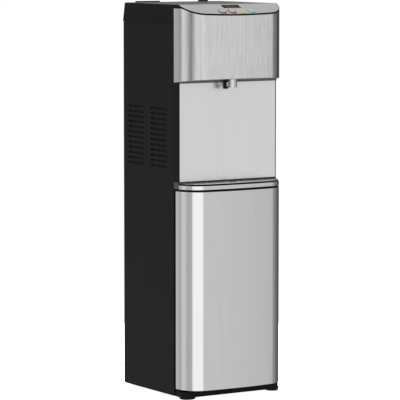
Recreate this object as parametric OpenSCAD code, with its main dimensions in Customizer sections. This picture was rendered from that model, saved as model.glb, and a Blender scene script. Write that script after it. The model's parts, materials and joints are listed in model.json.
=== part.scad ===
// Bottleless water cooler: steel cabinet, bow-fronted fascia, drip tray and door, on four levelling feet.
// X runs across the front, Y from front to back, Z up; the origin is on the floor under the middle.

/* [Cabinet] */
// Width over the two side panels
body_w = 306; // [280:1:340]
// Depth of the side panels
side_d = 257; // [250:1:300]
// How far the bowed front stands out ahead of the side panels
nose_d = 82; // [76:1:90]
// Height of the side panels' lower edge above the floor
foot_h = 7; // [6:0.5:14]
// Height of the plinth's lower edge above the side panels'
nose_lift = 5; // [2:0.5:6]
// Height of the plinth that shows under the door
plinth_h = 15; // [12:1:30]
// Depth of the recess that holds the condenser at the back
rear_recess = 20; // [18:1:26]
// Height of the open compressor bay above the cabinet's lower edge
bay_h = 233; // [225:1:260]
// Height of the shelf under the cold tank, above the door's upper edge
tank_shelf_h = 50; // [44:1:70]
// Thickness of the painted sheet steel
sheet_t = 1; // [0.8:0.1:1.5]
// Wall thickness of the plastic mouldings
wall_t = 2.5; // [2:0.1:3.5]

/* [Front outline] */
// Radius of the upright corners, seen from above
corner_r = 57; // [45:1:62]
// Radius of the shallow bow across the front
bow_r = 985; // [700:5:2000]
// Thickness of the stainless steel sheet
skin_t = 0.8; // [0.6:0.1:1.2]

/* [Door] */
// Height of the door
door_h = 523; // [500:1:620]
// Gap between the plinth and the door
door_gap = 5; // [4:0.5:8]
// Finger gap between the door's rear edge and the side panel
grip_gap = 9; // [9:0.5:14]
// Distance of the hinge axis from the side of the cabinet
hinge_side = 10; // [9:0.5:11]
// Distance of the hinge axis ahead of the side panel
hinge_ahead = 23; // [22:0.5:26]
// Diameter of the hinge pins
pin_d = 6; // [5:0.5:8]

/* [Drip tray] */
// Gap between the door and the tray
tray_gap = 6; // [3:0.5:7]
// Height of the tray from its lower edge to the top of the grille
tray_h = 14.5; // [14.5:0.5:20]
// Height of the steel band round the tray
band_h = 10; // [9:0.5:12]
// Depth of the tray housing at the sides
tray_back = 23.6; // [20:0.2:28]
// Diameter of the drain hole in the grille
drain_hole_d = 18; // [12:1:24]
// Length and width of one slot in the grille
slot_l = 10; // [8:0.5:12]
slot_w = 3; // [2:0.5:4]

/* [Alcove and fascia] */
// Height of the alcove from the grille to the fascia's lower edge at the sides
alcove_h = 263; // [240:0.5:320]
// Width of the black frame left bare on each side of the alcove's back plate
plate_side = 2.2; // [2:0.1:4]
// Height of the fascia from its lower edge at the sides to the top of the cooler
fascia_h = 203.5; // [200:0.5:240]
// Slope of the fascia's underside, rising to the front
under_slope = 7.2; // [5:0.1:9]
// Height of the black cap's skirt at the sides and the back
cap_h = 50; // [45:1:60]
// How far the cap overhangs the side panels
cap_lip = 1; // [0.5:0.1:2]
// Height of the black trim line between the steel and the control panel
trim_h = 4; // [3:0.2:6]

/* [Control panel] */
// Slope of the control panel, falling to the front
panel_slope = 22.5; // [18:0.5:25]
// Distance of the crest ahead of the side panels
crest_ahead = 22; // [18:1:26]
// Thickness of the control panel
panel_t = 2.2; // [1.8:0.1:3]
// Distance between neighbouring buttons
button_pitch = 30; // [27:1:32]
// Distance of the buttons from the crest, along the slope
button_down = 46.5; // [45:0.5:48]
// Outer diameter of the coloured button rings
ring_d = 22; // [20:0.5:24]
// Diameter of the button caps
button_d = 18; // [15:0.5:18]
// Travel of the buttons
button_travel = 1.5; // [1:0.1:1.5]
// Width and height of the display
display_w = 54; // [40:1:70]
display_h = 20; // [14:1:21]
// Distance of the display's middle from the crest, along the slope
display_down = 16; // [15:0.5:18]

/* [Spout] */
// Outer diameter of the spout
spout_d = 26; // [22:1:30]
// Length of the spout that shows under the fascia
spout_drop = 20; // [14:1:26]
// Distance of the spout ahead of the side panels
spout_ahead = 44; // [42:1:50]

/* [Louvres] */
// Number of louvres in a column
louvre_n = 12; // [6:1:14]
// Distance between louvres
louvre_pitch = 13.8; // [12:0.2:16]
// Length and opening height of one louvre
louvre_w = 78; // [60:1:84]
louvre_h = 5.5; // [4:0.5:7]
// Height of the lowest louvre above the side panel's lower edge
louvre_z = 601; // [560:1:640]
// Distances of the two columns from the front edge of the side panel
louvre_front = 37; // [30:1:45]
louvre_rear = 152; // [145:1:156]

/* [Feet] */
// Distance of the feet from the side of the cabinet
foot_side = 26; // [24:1:40]
// Distance of the front feet ahead of the side panels
foot_ahead = 24; // [14:1:24]
// Diameter of a foot where it meets the plinth
foot_d = 45; // [36:1:46]
// Distance of a rear foot's centre from the outside of the body
rear_foot_side = 44; // [40:1:60]

/* [Water and cooling parts] */
// Diameter and height of the cold tank
tank_d = 160; // [140:2:166]
tank_h = 250; // [200:5:255]
// Thickness of the foam round the cold tank
foam_t = 24; // [22:1:25]
// Diameter and height of the hot tank's jacket
hot_d = 124; // [110:2:128]
hot_h = 235; // [200:5:240]
// Diameter and height of the compressor's shell
comp_d = 136; // [120:2:138]
comp_h = 152; // [140:2:155]
// Diameter and length of a filter cartridge
filter_d = 62; // [50:1:70]
filter_l = 300; // [240:5:320]
// Distance of each filter from the middle
filter_x = 56; // [52:1:62]
// Diameter of the water lines
line_d = 6.4; // [5:0.1:8]
// Number of passes and pitch of the condenser tube
pass_n = 12; // [6:1:14]
pass_pitch = 46; // [36:1:48]
// Width of the condenser
cond_w = 236; // [200:2:240]
// Diameters of the condenser's tube and wires
tube_d = 4.8; // [4:0.1:6]
wire_d = 1.6; // [1.2:0.1:2]
// Number of condenser wires on each side
wire_n = 22; // [10:1:30]

/* [Hidden] */

// Clearances
fit = 0.3;
run_gap = 0.05;
eps = 0.01;

// Fineness of round shapes
$fn = 96;
corner_n = 28;
bow_n = 14;

// Colours
black = [0.09, 0.09, 0.09];
steel = [0.76, 0.76, 0.76];
silver = [0.66, 0.67, 0.68];
dark_grey = [0.27, 0.27, 0.28];
copper = [0.72, 0.42, 0.25];
foam_white = [0.93, 0.93, 0.9];

// Levels above the floor, from the bottom up
nose_z = foot_h + nose_lift;
plinth_top = foot_h + plinth_h;
deck_top = plinth_top + 3;
door_z = plinth_top + door_gap;
door_top = door_z + door_h;
tray_z = door_top + tray_gap;
grille_top = tray_z + tray_h;
fascia_z = grille_top + alcove_h;
top_z = fascia_z + fascia_h;
cap_z = top_z - cap_h;
flank_drop = 10;
flank_top = top_z - flank_drop;
bay_z = foot_h + bay_h;
tank_z = door_top + tank_shelf_h;

// Depths: the box of the whole cooler is centred on the origin
total_d = nose_d + side_d + cap_lip;
front_y = nose_d - total_d / 2;
nose_y = front_y - nose_d;
rear_y = front_y + side_d;
crest_y = front_y - crest_ahead;
plate_y = front_y - tray_back;
recess_y = rear_y - rear_recess;
spout_y = front_y - spout_ahead;
half_w = body_w / 2;
inner_w = half_w - sheet_t - fit;

// Centres of the arcs of the front outline, which meet each other tangentially
corner_x = half_w - corner_r;
bow_y = nose_y + bow_r;
corner_y = bow_y - sqrt(pow(bow_r - corner_r, 2) - pow(corner_x, 2));
corner_a = asin(corner_x / (bow_r - corner_r));

// Height of the fascia's underside and of the control panel at a given depth
function under_z(y) = fascia_z + (front_y - y) * tan(under_slope);
function panel_z(y) = top_z - (crest_y - y) * tan(panel_slope);

// Points along an arc round c, at n equal steps from angle a1 to a2
function arc(c, r, a1, a2, n) = [for (k = [0 : n]) let (a = a1 + k / n * (a2 - a1)) c + r * [cos(a), sin(a)]];

// Outline of the front seen from above, inset by t all round; its arcs share their centres at every inset
module front_outline(t) {
    rear = front_y + wall_t;
    r = corner_r - t;
    bow = arc([0, bow_y], bow_r - t, corner_a - 90, -90 - corner_a, bow_n);
    polygon(concat([[half_w - t, rear]], arc([corner_x, corner_y], r, 0, corner_a - 90, corner_n),
        [for (k = [1 : bow_n - 1]) bow[k]],
        arc([-corner_x, corner_y], r, -90 - corner_a, -180, corner_n), [[t - half_w, rear]]));
}

// Slab of that outline from z up to z + h, with a straight rear edge at y = back
module front_slab(z, h, t, back) {
    translate([0, 0, z]) linear_extrude(h) intersection() {
        front_outline(t);
        translate([-half_w, back - nose_d]) square([body_w, nose_d]);
    }
}

// Wall that follows the outline, from inset t1 to inset t2
module front_wall(z, h, t1, t2, back) {
    difference() {
        front_slab(z, h, t1, back);
        translate([0, 0, -eps]) front_slab(z, h + 2 * eps, t2, back + eps);
    }
}

// Extrudes a side profile, given as depth and height, to width w across the cabinet
module across(w) rotate([90, 0, 90]) linear_extrude(w, center = true) children();

// Extrudes a plan shape from z1 up to z2
module rise(z1, z2) translate([0, 0, z1]) linear_extrude(z2 - z1) children();

// Puts its children on the control panel: Y runs up the slope from the crest, Z out of the panel
module on_slope() translate([0, crest_y, top_z]) rotate([panel_slope, 0, 0]) children();

// Block centred on x and y, from z1 to z2
module block(w, d, z1, z2) translate([-w / 2, -d / 2, z1]) cube([w, d, z2 - z1]);

// Round post or bore from z1 to z2
module post(d, z1, z2) translate([0, 0, z1]) cylinder(d = d, h = z2 - z1);

// Rectangle with round corners, centred on the origin
module round_rect(w, d, r) {
    square([w - 2 * r, d], center = true);
    square([w, d - 2 * r], center = true);
    for (x = [-1, 1], y = [-1, 1]) translate([x * (w / 2 - r), y * (d / 2 - r)]) circle(r);
}

// Vector helpers and a swept tube with rounded corners, for the water and cooling lines
function unit(v) = v / norm(v);
function corner_arc(a, b, c, r, n) = let (
    u = unit(a - b), v = unit(c - b), half = acos(u * v) / 2, turn = 180 - 2 * half,
    middle = b + unit(u + v) * r / sin(half),
    w0 = unit(b + u * r / tan(half) - middle), w1 = unit(b + v * r / tan(half) - middle))
    [for (k = [0 : n]) middle + r * (sin((1 - k / n) * turn) * w0 + sin(k / n * turn) * w1) / sin(turn)];
function bent_path(p, r, n) = concat([p[0]],
    [for (i = [1 : len(p) - 2]) each corner_arc(p[i - 1], p[i], p[i + 1], r, n)], [p[len(p) - 1]]);
function tangents(p) = [for (i = [0 : len(p) - 1]) unit(p[min(i + 1, len(p) - 1)] - p[max(i - 1, 0)])];
function squared(v, t) = unit(v - (v * t) * t);
function side_vectors(t) = let (start = abs(t[0][2]) < 0.9 ? [0, 0, 1] : [1, 0, 0])
    [for (i = 0, n = squared(start, t[0]); i < len(t); i = i + 1, n = i < len(t) ? squared(n, t[i]) : n) n];

module sweep(path, d, sides = 8) {
    t = tangents(path);
    n = side_vectors(t);
    rings = len(path);
    points = [for (i = [0 : rings - 1], k = [0 : sides - 1])
        path[i] + d / 2 * (cos(k * 360 / sides) * n[i] + sin(k * 360 / sides) * cross(t[i], n[i]))];
    sides_faces = [for (i = [0 : rings - 2], k = [0 : sides - 1])
        let (a = i * sides + k, b = i * sides + (k + 1) % sides)
        each [[a, a + sides, b + sides], [a, b + sides, b]]];
    ends = [[for (k = [0 : sides - 1]) k], [for (k = [sides - 1 : -1 : 0]) (rings - 1) * sides + k]];
    polyhedron(points, concat(sides_faces, ends), convexity = 6);
}

module pipe(points, d, bend) sweep(bent_path(points, bend, 4), d);

// Plinth: a deck inside the side panels with an open-bottomed nose under the door
nose_front = 46;
nose_corner = 15;
nose_inset = 3;
plinth_wall = 3;
hinge_x = half_w - hinge_side;
hinge_y = front_y - hinge_ahead;
boss_d = 14;
foot_places = [for (x = [-1, 1]) each [[x * (half_w - foot_side), front_y - foot_ahead],
    [x * (half_w - rear_foot_side), rear_y - foot_side]]];
stud_d = 8;

module plinth_nose(t) {
    w = body_w - 2 * nose_inset - 2 * t;
    depth = 2 * (nose_front - t);
    translate([0, front_y]) intersection() {
        round_rect(w, depth, nose_corner - t);
        translate([-w / 2, -depth / 2]) square([w, depth / 2 + wall_t - t]);
    }
}

module plinth() {
    deck_d = rear_y - sheet_t - fit - front_y;
    color(black) difference() {
        union() {
            difference() {
                union() {
                    rise(nose_z, plinth_top) plinth_nose(0);
                    translate([0, front_y + deck_d / 2, 0]) block(body_w, deck_d, nose_z, deck_top);
                }
                rise(nose_z - 1, plinth_top - plinth_wall) plinth_nose(plinth_wall);
                translate([0, front_y + deck_d / 2, 0])
                    block(2 * (inner_w - plinth_wall), deck_d - 2 * plinth_wall, nose_z - 1,
                        deck_top - plinth_wall);
            }
            for (p = foot_places) translate(p)
                post(stud_d + 10, nose_z, p[1] > front_y ? plinth_top + 1 : plinth_top - 1);
            for (x = [-60 : 40 : 60]) translate([x, front_y + deck_d / 2, 0])
                block(2, deck_d - 2, nose_z + 2, deck_top - 1);
            translate([hinge_x, hinge_y]) post(boss_d, nose_z, door_z - fit);
        }
        for (m = [0, 1]) mirror([m, 0, 0]) rise(nose_z - 1, deck_top + 1) side_profile(fit);
        for (p = foot_places) translate(p) post(stud_d + 2 * run_gap, nose_z - 1, plinth_top - plinth_wall);
        translate([hinge_x, hinge_y]) post(pin_d + 2 * run_gap, nose_z + 2, door_z);
    }
}

// Levelling feet: a flared foot on a stud, turned to level the cooler
module feet() {
    color(black) for (p = foot_places) translate(p) rotate_extrude()
        polygon([[0, 0], [foot_d / 2 - 5, 0], [foot_d / 2 - 5, 1.5], [foot_d / 2 - 3.5, 1.5],
            [foot_d / 2, nose_z - fit - 1], [foot_d / 2 - 1, nose_z - fit], [stud_d / 2, nose_z - fit],
            [stud_d / 2, plinth_top - plinth_wall - 1], [0, plinth_top - plinth_wall - 1]]);
}

// Side panels: folded sheet with two columns of pressed-in louvres
flange_front = 12;
flange_rear = 10;
flange_inner = 12;
side_top = cap_z - fit;

module strip(x1, y1, x2, y2, g) translate([x1 - g, y1 - g]) square([x2 - x1 + 2 * g, y2 - y1 + 2 * g]);

// Plan of the folded sheet, grown by g all round to cut clearance for it
module side_profile(g = 0) {
    t = sheet_t;
    recess = side_d - rear_recess;
    translate([-half_w, front_y]) {
        strip(0, 0, t, side_d, g);
        strip(0, 0, flange_front, t, g);
        strip(0, side_d - t, flange_rear, side_d, g);
        strip(flange_rear - t, recess - t, flange_rear, side_d, g);
        strip(flange_rear - t, recess - t, flange_rear + flange_inner, recess, g);
    }
}

module side_panel() {
    vane_t = 0.8;
    vane_in = 2.5;
    difference() {
        rise(foot_h, side_top) side_profile();
        for (y = [louvre_front, louvre_rear], i = [0 : louvre_n - 1])
            translate([-half_w - 1, front_y + y, foot_h + louvre_z + i * louvre_pitch])
                cube([sheet_t + 2, louvre_w, louvre_h]);
    }
    for (y = [louvre_front, louvre_rear], i = [0 : louvre_n - 1])
        translate([-half_w, front_y + y + louvre_w + 1, foot_h + louvre_z + i * louvre_pitch])
            rotate([90, 0, 0]) linear_extrude(louvre_w + 2)
                polygon([[0.3, louvre_h], [0.3, louvre_h + 1], [sheet_t, louvre_h + 1],
                    [sheet_t + vane_in, 1 + vane_t], [sheet_t + vane_in, 1]]);
}

module left_side_panel() { color(black) side_panel(); }

module right_side_panel() { color(black) mirror([1, 0, 0]) side_panel(); }

// Rear panel: flat sheet on the side panels' inner flanges, with its lower edge folded in
rear_w = body_w - 2 * flange_rear - 2 * fit;
rear_face = recess_y + fit + sheet_t;
inlet_x = half_w - 35;
inlet_z = bay_z + 30;
drain_x = 57 - half_w;
drain_z = bay_z + 30;
gland_x = half_w - 93;
gland_z = bay_z + 26;
switch_x = half_w - 71;
switch_z = cap_z - 34;
inlet_d = 24;
drain_d = 20;
gland_d = 16;
switch_w = 21;
switch_l = 30;
switch_gap = 34;
vent_slots = 8;
vent_pitch = 16;

module rear_panel() {
    color(black) difference() {
        union() {
            translate([0, recess_y + fit + sheet_t / 2, 0]) block(rear_w, sheet_t, bay_z + 3, side_top);
            translate([0, recess_y + fit - 4, 0])
                block(rear_w - 2 * flange_inner - 2, 10, bay_z + 3, bay_z + 3 + sheet_t);
        }
        translate([inlet_x, recess_y, inlet_z]) rotate([-90, 0, 0]) post(inlet_d + 2 * fit, -6, 6);
        translate([drain_x, recess_y, drain_z]) rotate([-90, 0, 0]) post(drain_d + 2 * fit, -6, 6);
        translate([gland_x, recess_y, gland_z]) rotate([-90, 0, 0]) post(gland_d + 2 * fit, -6, 6);
        translate([switch_x, recess_y, switch_z]) for (s = [-0.5, 0.5]) translate([s * switch_gap, 0, 0])
            block(switch_w + 2 * fit, 12, -switch_l / 2 - fit, switch_l / 2 + fit);
        for (i = [0 : vent_slots - 1]) translate([53 - half_w + i * vent_pitch, recess_y, cap_z - 60])
            block(3, 12, 0, 44);
    }
}

// Cap: drafted black lid whose front follows the fascia and holds the control panel on its slope
cap_draft = 3.5;
cap_edge = 2;
panel_rim = 1.2;
window_w = body_w - 82;
window_d = 55;
vent_x = half_w - 65;
vent_y = rear_y - 18;
vent_d = 27;
vent_h = 12;
vent_stem = 14;
bar_w = 74;
bar_x = 36 + bar_w / 2 - half_w;
bar_h = 3;

module slope_slab(z1, z2, end = 0)
    on_slope() translate([-half_w, -2 * nose_d, z1]) cube([body_w, 2 * nose_d - end, z2 - z1]);

module cap_nose_profile() {
    drop_y = crest_y - (flank_drop - trim_h) / tan(panel_slope);
    polygon([[front_y + wall_t, flank_top + fit], [drop_y, flank_top + fit],
        [nose_y - 1, panel_z(nose_y - 1) - trim_h + fit], [nose_y - 1, panel_z(nose_y - 1)],
        [crest_y, top_z], [front_y + wall_t, top_z]]);
}

module cap_hollow_profile() {
    under = (panel_t + wall_t) / cos(panel_slope);
    edge_y = nose_y + corner_r / 4;
    polygon([[front_y + 2 * wall_t, flank_top - wall_t], [edge_y, panel_z(edge_y) - 2 * flank_drop - under],
        [edge_y, panel_z(edge_y) - under], [crest_y - (under - wall_t) / tan(panel_slope), top_z - wall_t],
        [front_y + 2 * wall_t, top_z - wall_t]]);
}

module cap_box() {
    w1 = half_w + cap_lip;
    w2 = w1 - cap_draft;
    intersection() {
        translate([0, (front_y + rear_y) / 2, 0]) rotate([90, 0, 0])
            linear_extrude(2 * side_d, center = true) polygon([[-w1, cap_z], [w1, cap_z],
                [w2, top_z - cap_edge], [w2 - cap_edge, top_z], [-w2 + cap_edge, top_z],
                [-w2, top_z - cap_edge]]);
        across(2 * body_w) polygon([[front_y, cap_z], [rear_y + cap_lip, cap_z],
            [rear_y + cap_lip - cap_draft, top_z - cap_edge],
            [rear_y + cap_lip - cap_draft - cap_edge, top_z],
            [front_y, top_z]]);
    }
}

module top_cap() {
    color(black) difference() {
        union() {
            cap_box();
            intersection() {
                front_slab(cap_z, cap_h + 1, 0, front_y + wall_t);
                across(body_w + 2) cap_nose_profile();
            }
            translate([bar_x, rear_y - 5, 0]) block(bar_w, 6, top_z - 1, top_z + bar_h);
        }
        translate([0, (front_y + recess_y) / 2, 0])
            block(body_w - 2 * cap_draft - 4 * wall_t, recess_y - front_y - 2 * wall_t, cap_z - 1,
                top_z - wall_t);
        translate([0, (recess_y + rear_y) / 2, 0])
            block(body_w - 2 * cap_draft - 8 * wall_t, rear_recess - 2 * wall_t, cap_z - 1,
                top_z - 2 * wall_t);
        across(window_w + 12) cap_hollow_profile();
        intersection() {
            front_slab(cap_z, cap_h + 1, panel_rim, crest_y + 5);
            slope_slab(-panel_t - fit / 3, 3 * wall_t);
        }
        on_slope() translate([0, -3 - window_d / 2, 0]) block(window_w, window_d, -4 * wall_t, wall_t);
        translate([vent_x, vent_y]) post(vent_stem + 2 * run_gap, cap_z, top_z + 1);
    }
}

// Ribbed vent cap on the rear of the lid
module vent_cap() {
    color(dark_grey) translate([vent_x, vent_y, top_z + fit]) {
        cylinder(d = vent_d - 2, h = vent_h);
        for (a = [0 : 15 : 345]) rotate(a) translate([vent_d / 2 - 2, -0.9, 0]) cube([2, 1.8, vent_h - 1]);
        post(vent_stem, -8, eps);
    }
}

// Upper frame: black moulding behind the alcove plate, narrower where the fascia's steel covers it
frame_y = front_y - fit;
frame_front = plate_y + skin_t + fit;
frame_z = grille_top + 3;
frame_top = flank_top - 12;

module upper_frame() {
    narrow = half_w - skin_t - fit;
    color(black) difference() {
        translate([0, (frame_y + frame_front) / 2, 0]) {
            block(body_w, frame_y - frame_front, frame_z, fascia_z - fit);
            block(2 * narrow, frame_y - frame_front, fascia_z - fit - eps, frame_top);
        }
        translate([0, frame_y, 0]) block(2 * (narrow - wall_t), 2 * (frame_y - frame_front - wall_t),
            frame_z + wall_t, frame_top - wall_t);
        translate([0, frame_front, 0]) block(120, 20, fascia_z + 22, frame_top - 40);
    }
}

// Brushed steel plate at the back of the alcove
plate_z = grille_top + 5;
plate_top = fascia_z + 16;

module alcove_plate() {
    color(steel) translate([0, plate_y + skin_t / 2, 0])
        block(body_w - 2 * plate_side, skin_t, plate_z, plate_top);
}

// Lower frame: black surround of the filter bay, set back at both sides to leave room for fingers
grip_depth = 12;
bay_mouth = 2 * (half_w - 31);
bay_floor = door_z + 13;
bay_top = door_top - 14;
swing_gap = 4;
catch_x = -half_w + 21;
catch_z = door_z + door_h / 2;
catch_w = 13;
catch_h = 48;
stop_w = 17;

module lower_frame() {
    front = front_y - grip_gap + swing_gap;
    stop_front = front_y - grip_gap + fit;
    color(black) difference() {
        union() {
            translate([0, (front + frame_y) / 2, 0])
                block(body_w - 2 * grip_depth, frame_y - front, deck_top + fit, tray_z - fit);
            translate([catch_x, (stop_front + frame_y) / 2, 0])
                block(stop_w, frame_y - stop_front, bay_floor, bay_top);
        }
        translate([0, front_y, 0]) block(bay_mouth, 40, bay_floor - eps, bay_top + eps);
        translate([catch_x, stop_front, 0])
            block(catch_w + 2 * fit, 2 * sheet_t + fit, catch_z - catch_h / 2 - fit,
                catch_z + catch_h / 2 + fit);
    }
}

// Fascia: stainless wrap-round skin, cut to the underside's and the control panel's slopes
fascia_back = front_y - fit;

module fascia_profile(low, high) {
    drop_y = crest_y - (flank_drop - trim_h) / tan(panel_slope);
    polygon([[fascia_back + 1, under_z(fascia_back + 1) + low], [nose_y - 1, under_z(nose_y - 1) + low],
        [nose_y - 1, panel_z(nose_y - 1) - trim_h - high], [drop_y, flank_top - high],
        [fascia_back + 1, flank_top - high]]);
}

module fascia_skin() {
    color(steel) intersection() {
        front_wall(fascia_z - 1, fascia_h, 0, skin_t, fascia_back);
        across(body_w + 2) fascia_profile(0, 0);
    }
}

// Carrier inside the fascia: side walls, sloping floor with the spout's hole, and a lip over the plate
carrier_t = 3;
carrier_drop = 12;
lip_h = 5;
rear_lip = 3;

module fascia_carrier() {
    inset = skin_t + fit;
    back = frame_front - 2 * skin_t - 2 * fit;
    color(dark_grey) difference() {
        union() {
            intersection() {
                front_slab(fascia_z - lip_h, fascia_h, inset, back);
                across(body_w) fascia_profile(0.5, carrier_drop);
            }
            intersection() {
                front_slab(fascia_z - rear_lip / 2, 4 * rear_lip, inset, back);
                translate([0, back, 0]) block(body_w, 2 * rear_lip, fascia_z - lip_h,
                    fascia_z + 4 * rear_lip);
            }
        }
        intersection() {
            front_slab(fascia_z, fascia_h, inset + wall_t, back + 1);
            across(body_w) fascia_profile(0.5 + carrier_t, -2 * carrier_drop);
        }
        translate([0, spout_y, 0]) post(spout_d + 2 * fit, fascia_z - 5, fascia_z + 30);
    }
}

// Control panel: silver plate in the cap's pocket, with the display window and the button holes
button_xs = [for (i = [-1.5 : 1 : 1.5]) i * button_pitch];

module control_panel() {
    color(silver) difference() {
        intersection() {
            front_slab(cap_z, cap_h, panel_rim + fit / 2, crest_y + 5);
            slope_slab(-panel_t, 0, fit / 2);
        }
        on_slope() {
            for (x = button_xs) translate([x, -button_down, 0]) post(ring_d + 2 * fit, -2 * panel_t, panel_t);
            translate([0, -display_down, 0]) block(display_w, display_h, -2 * panel_t, panel_t);
        }
    }
}

// Display lens: black window set in the control panel
module display_lens() {
    color(black) on_slope() translate([0, -display_down, 0])
        block(display_w - 2 * fit, display_h - 2 * fit, -panel_t, 0.2);
}

// Coloured rings round the buttons
ring_rise = 0.7;
ring_gap = 0.3;

module button_ring(i) {
    on_slope() translate([button_xs[i], -button_down, 0]) difference() {
        post(ring_d, -panel_t, ring_rise);
        post(button_d + 2 * ring_gap, -panel_t - 1, ring_rise + 1);
    }
}

module red_rings() { color([0.62, 0.08, 0.2]) for (i = [0, 1]) button_ring(i); }

module green_ring() { color([0.72, 0.76, 0.1]) button_ring(2); }

module teal_ring() { color([0.33, 0.68, 0.64]) button_ring(3); }

// Buttons: domed caps on stems that press the switches on the control board
button_rise = 2.2;
stem_d = 8;
carrier_plate = 2;
cap_under = button_travel + 0.2 - panel_t - run_gap;
board_z = -17;
board_t = 1.6;
switch_h = 4;
stem_end = board_z + board_t + switch_h + button_travel + 0.2;

module button(i) {
    dome = 60;
    color(silver) on_slope() translate([button_xs[i], -button_down, 0]) {
        intersection() {
            post(button_d, cap_under, button_rise);
            translate([0, 0, button_rise - dome]) sphere(dome, $fn = 192);
        }
        post(stem_d, stem_end, cap_under + eps);
    }
}

module button_1() { button(0); }

module button_2() { button(1); }

module button_3() { button(2); }

module button_4() { button(3); }

// Carrier plate under the control panel: guides the stems and holds the board on pillars
pillar_x = 2 * button_pitch + 8;

module button_carrier() {
    color(black) on_slope() difference() {
        union() {
            translate([0, -30, 0]) block(window_w - 60, 50, -panel_t - carrier_plate, -panel_t - run_gap);
            for (x = button_xs) translate([x, -button_down, 0])
                post(stem_d + 5, -panel_t - carrier_plate - 3, -panel_t - run_gap);
            for (x = [-pillar_x, pillar_x], y = [-48, -12]) translate([x, y, 0])
                post(6, board_z + board_t, -panel_t - carrier_plate + eps);
        }
        for (x = button_xs) translate([x, -button_down, 0]) post(stem_d + 2 * run_gap, -20, 2);
        translate([0, -display_down, 0]) block(display_w - 8, display_h - 4, -20, 2);
    }
}

// Control board with four switches and the display module
module control_board() {
    color([0.1, 0.3, 0.16]) on_slope() {
        translate([0, -30, 0]) block(window_w - 76, 48, board_z, board_z + board_t);
        for (x = button_xs) translate([x, -button_down, 0])
            block(6, 6, board_z + board_t - eps, board_z + board_t + switch_h);
        translate([0, -display_down, 0])
            block(display_w - 10, display_h - 6, board_z + board_t - eps, -panel_t - fit);
    }
}

// Spout: steel sleeve with a black core that carries the hot and cold outlets
spout_z = under_z(spout_y) - spout_drop;
spout_wall = 1.5;
spout_top = spout_z + spout_drop + 16;

module spout() {
    color(steel) translate([0, spout_y]) rotate_extrude() polygon([[spout_d / 2 - spout_wall, spout_z],
        [spout_d / 2 - 0.6, spout_z], [spout_d / 2, spout_z + 0.6], [spout_d / 2, spout_top],
        [spout_d / 2 - spout_wall, spout_top]]);
}

module spout_core() {
    core_d = spout_d - 2 * spout_wall - 2 * run_gap;
    color(black) translate([0, spout_y]) difference() {
        post(core_d, spout_z + 3, spout_top);
        for (x = [-1, 1]) translate([x * core_d / 4, 0]) post(line_d, spout_z, spout_top - 8);
    }
}

// Small black bracket that hangs beside the spout, with its foot turned towards it
bracket_w = 6;
bracket_d = 8;
bracket_foot = 3;
bracket_x = -spout_d / 2 - 10.5;
bracket_gap = 2;

module spout_bracket() {
    foot_x = -spout_d / 2 - bracket_gap - bracket_x;
    color(black) translate([bracket_x, spout_y, 0]) {
        block(bracket_w, bracket_d, spout_z - bracket_foot, spout_z + spout_drop - fit);
        translate([foot_x / 2, 0, 0]) block(foot_x, bracket_d, spout_z - bracket_foot,
            spout_z + bracket_foot);
        translate([foot_x / 2, 0, 0])
            block(foot_x, bracket_d, spout_z + spout_drop - bracket_foot, spout_z + spout_drop - 2 * fit);
    }
}

// Block above the spout that joins the two lines to it
spout_block_h = 24;

module spout_block() {
    color(foam_white) translate([0, spout_y, 0]) {
        block(40, 30, spout_top + run_gap, spout_top + spout_block_h);
        for (x = [-1, 1]) translate([x * 10, 15, spout_top + 12]) rotate([-90, 0, 0]) post(9, -1, 9);
    }
}

// Tray housing: grey bar between the alcove and the door, with the shelf that the tray slides on
shelf_t = 3;
shelf_inset = 4;

module tray_housing() {
    bar_front = plate_y + fit;
    color(dark_grey) difference() {
        union() {
            difference() {
                translate([0, (bar_front + frame_y) / 2, 0])
                    block(body_w, frame_y - bar_front, tray_z, frame_z - fit);
                translate([0, frame_y, 0]) block(body_w - 2 * wall_t, 2 * (frame_y - bar_front - wall_t),
                    tray_z + shelf_t, frame_z - fit - wall_t);
            }
            front_slab(tray_z, shelf_t, shelf_inset, bar_front + wall_t);
            translate([hinge_x, hinge_y]) post(boss_d, door_top + fit, tray_z + eps);
        }
        translate([hinge_x, hinge_y]) post(pin_d + 2 * run_gap, door_top - 1, tray_z + shelf_t + 1);
    }
}

// Drip tray: shallow basin behind a brushed band
tray_edge = plate_y - fit;
band_t = 1;
basin_wall = 2;

module drip_tray() {
    t = band_t + 0.2;
    base = tray_z + shelf_t + fit;
    color(black) difference() {
        front_slab(base, tray_z + band_h - base, t, tray_edge);
        front_slab(base + basin_wall, band_h, t + basin_wall, tray_edge - basin_wall);
    }
}

module tray_band() {
    color(steel) front_wall(tray_z, band_h, 0, band_t, tray_edge);
}

// Grille: slotted steel cover with a ringed drain hole, standing in the basin on its own rim
grille_t = 1.2;
grille_inset = 2;
rim_inset = 4.5;
slot_pitch_x = 16;
slot_pitch_y = 7.5;

module drip_grille() {
    sheet_z = grille_top - grille_t;
    foot_z = tray_z + shelf_t + basin_wall + 2 * fit;
    edge = tray_edge - basin_wall - 1.2;
    color(steel) difference() {
        union() {
            front_slab(sheet_z, grille_t, grille_inset, tray_edge);
            difference() {
                front_slab(foot_z, sheet_z - foot_z + eps, rim_inset, edge);
                translate([0, 0, -1]) front_slab(foot_z, sheet_z - foot_z + 1, rim_inset + 1, edge - 1);
            }
            translate([0, spout_y]) post(drain_hole_d + 10, sheet_z, grille_top + 0.8);
        }
        translate([0, spout_y]) post(drain_hole_d, sheet_z - 2, grille_top + 2);
        for (j = [-2 : 2], i = [-8 : 8]) let (x = i * slot_pitch_x, y = spout_y - 2 + j * slot_pitch_y)
            if (norm([x, y - spout_y]) > drain_hole_d / 2 + 9 && abs(x) < corner_x + 36 - 5 * (2 - j))
                translate([x, y, 0]) block(slot_l, slot_w, sheet_z - 2, grille_top + 2);
    }
}

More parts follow.
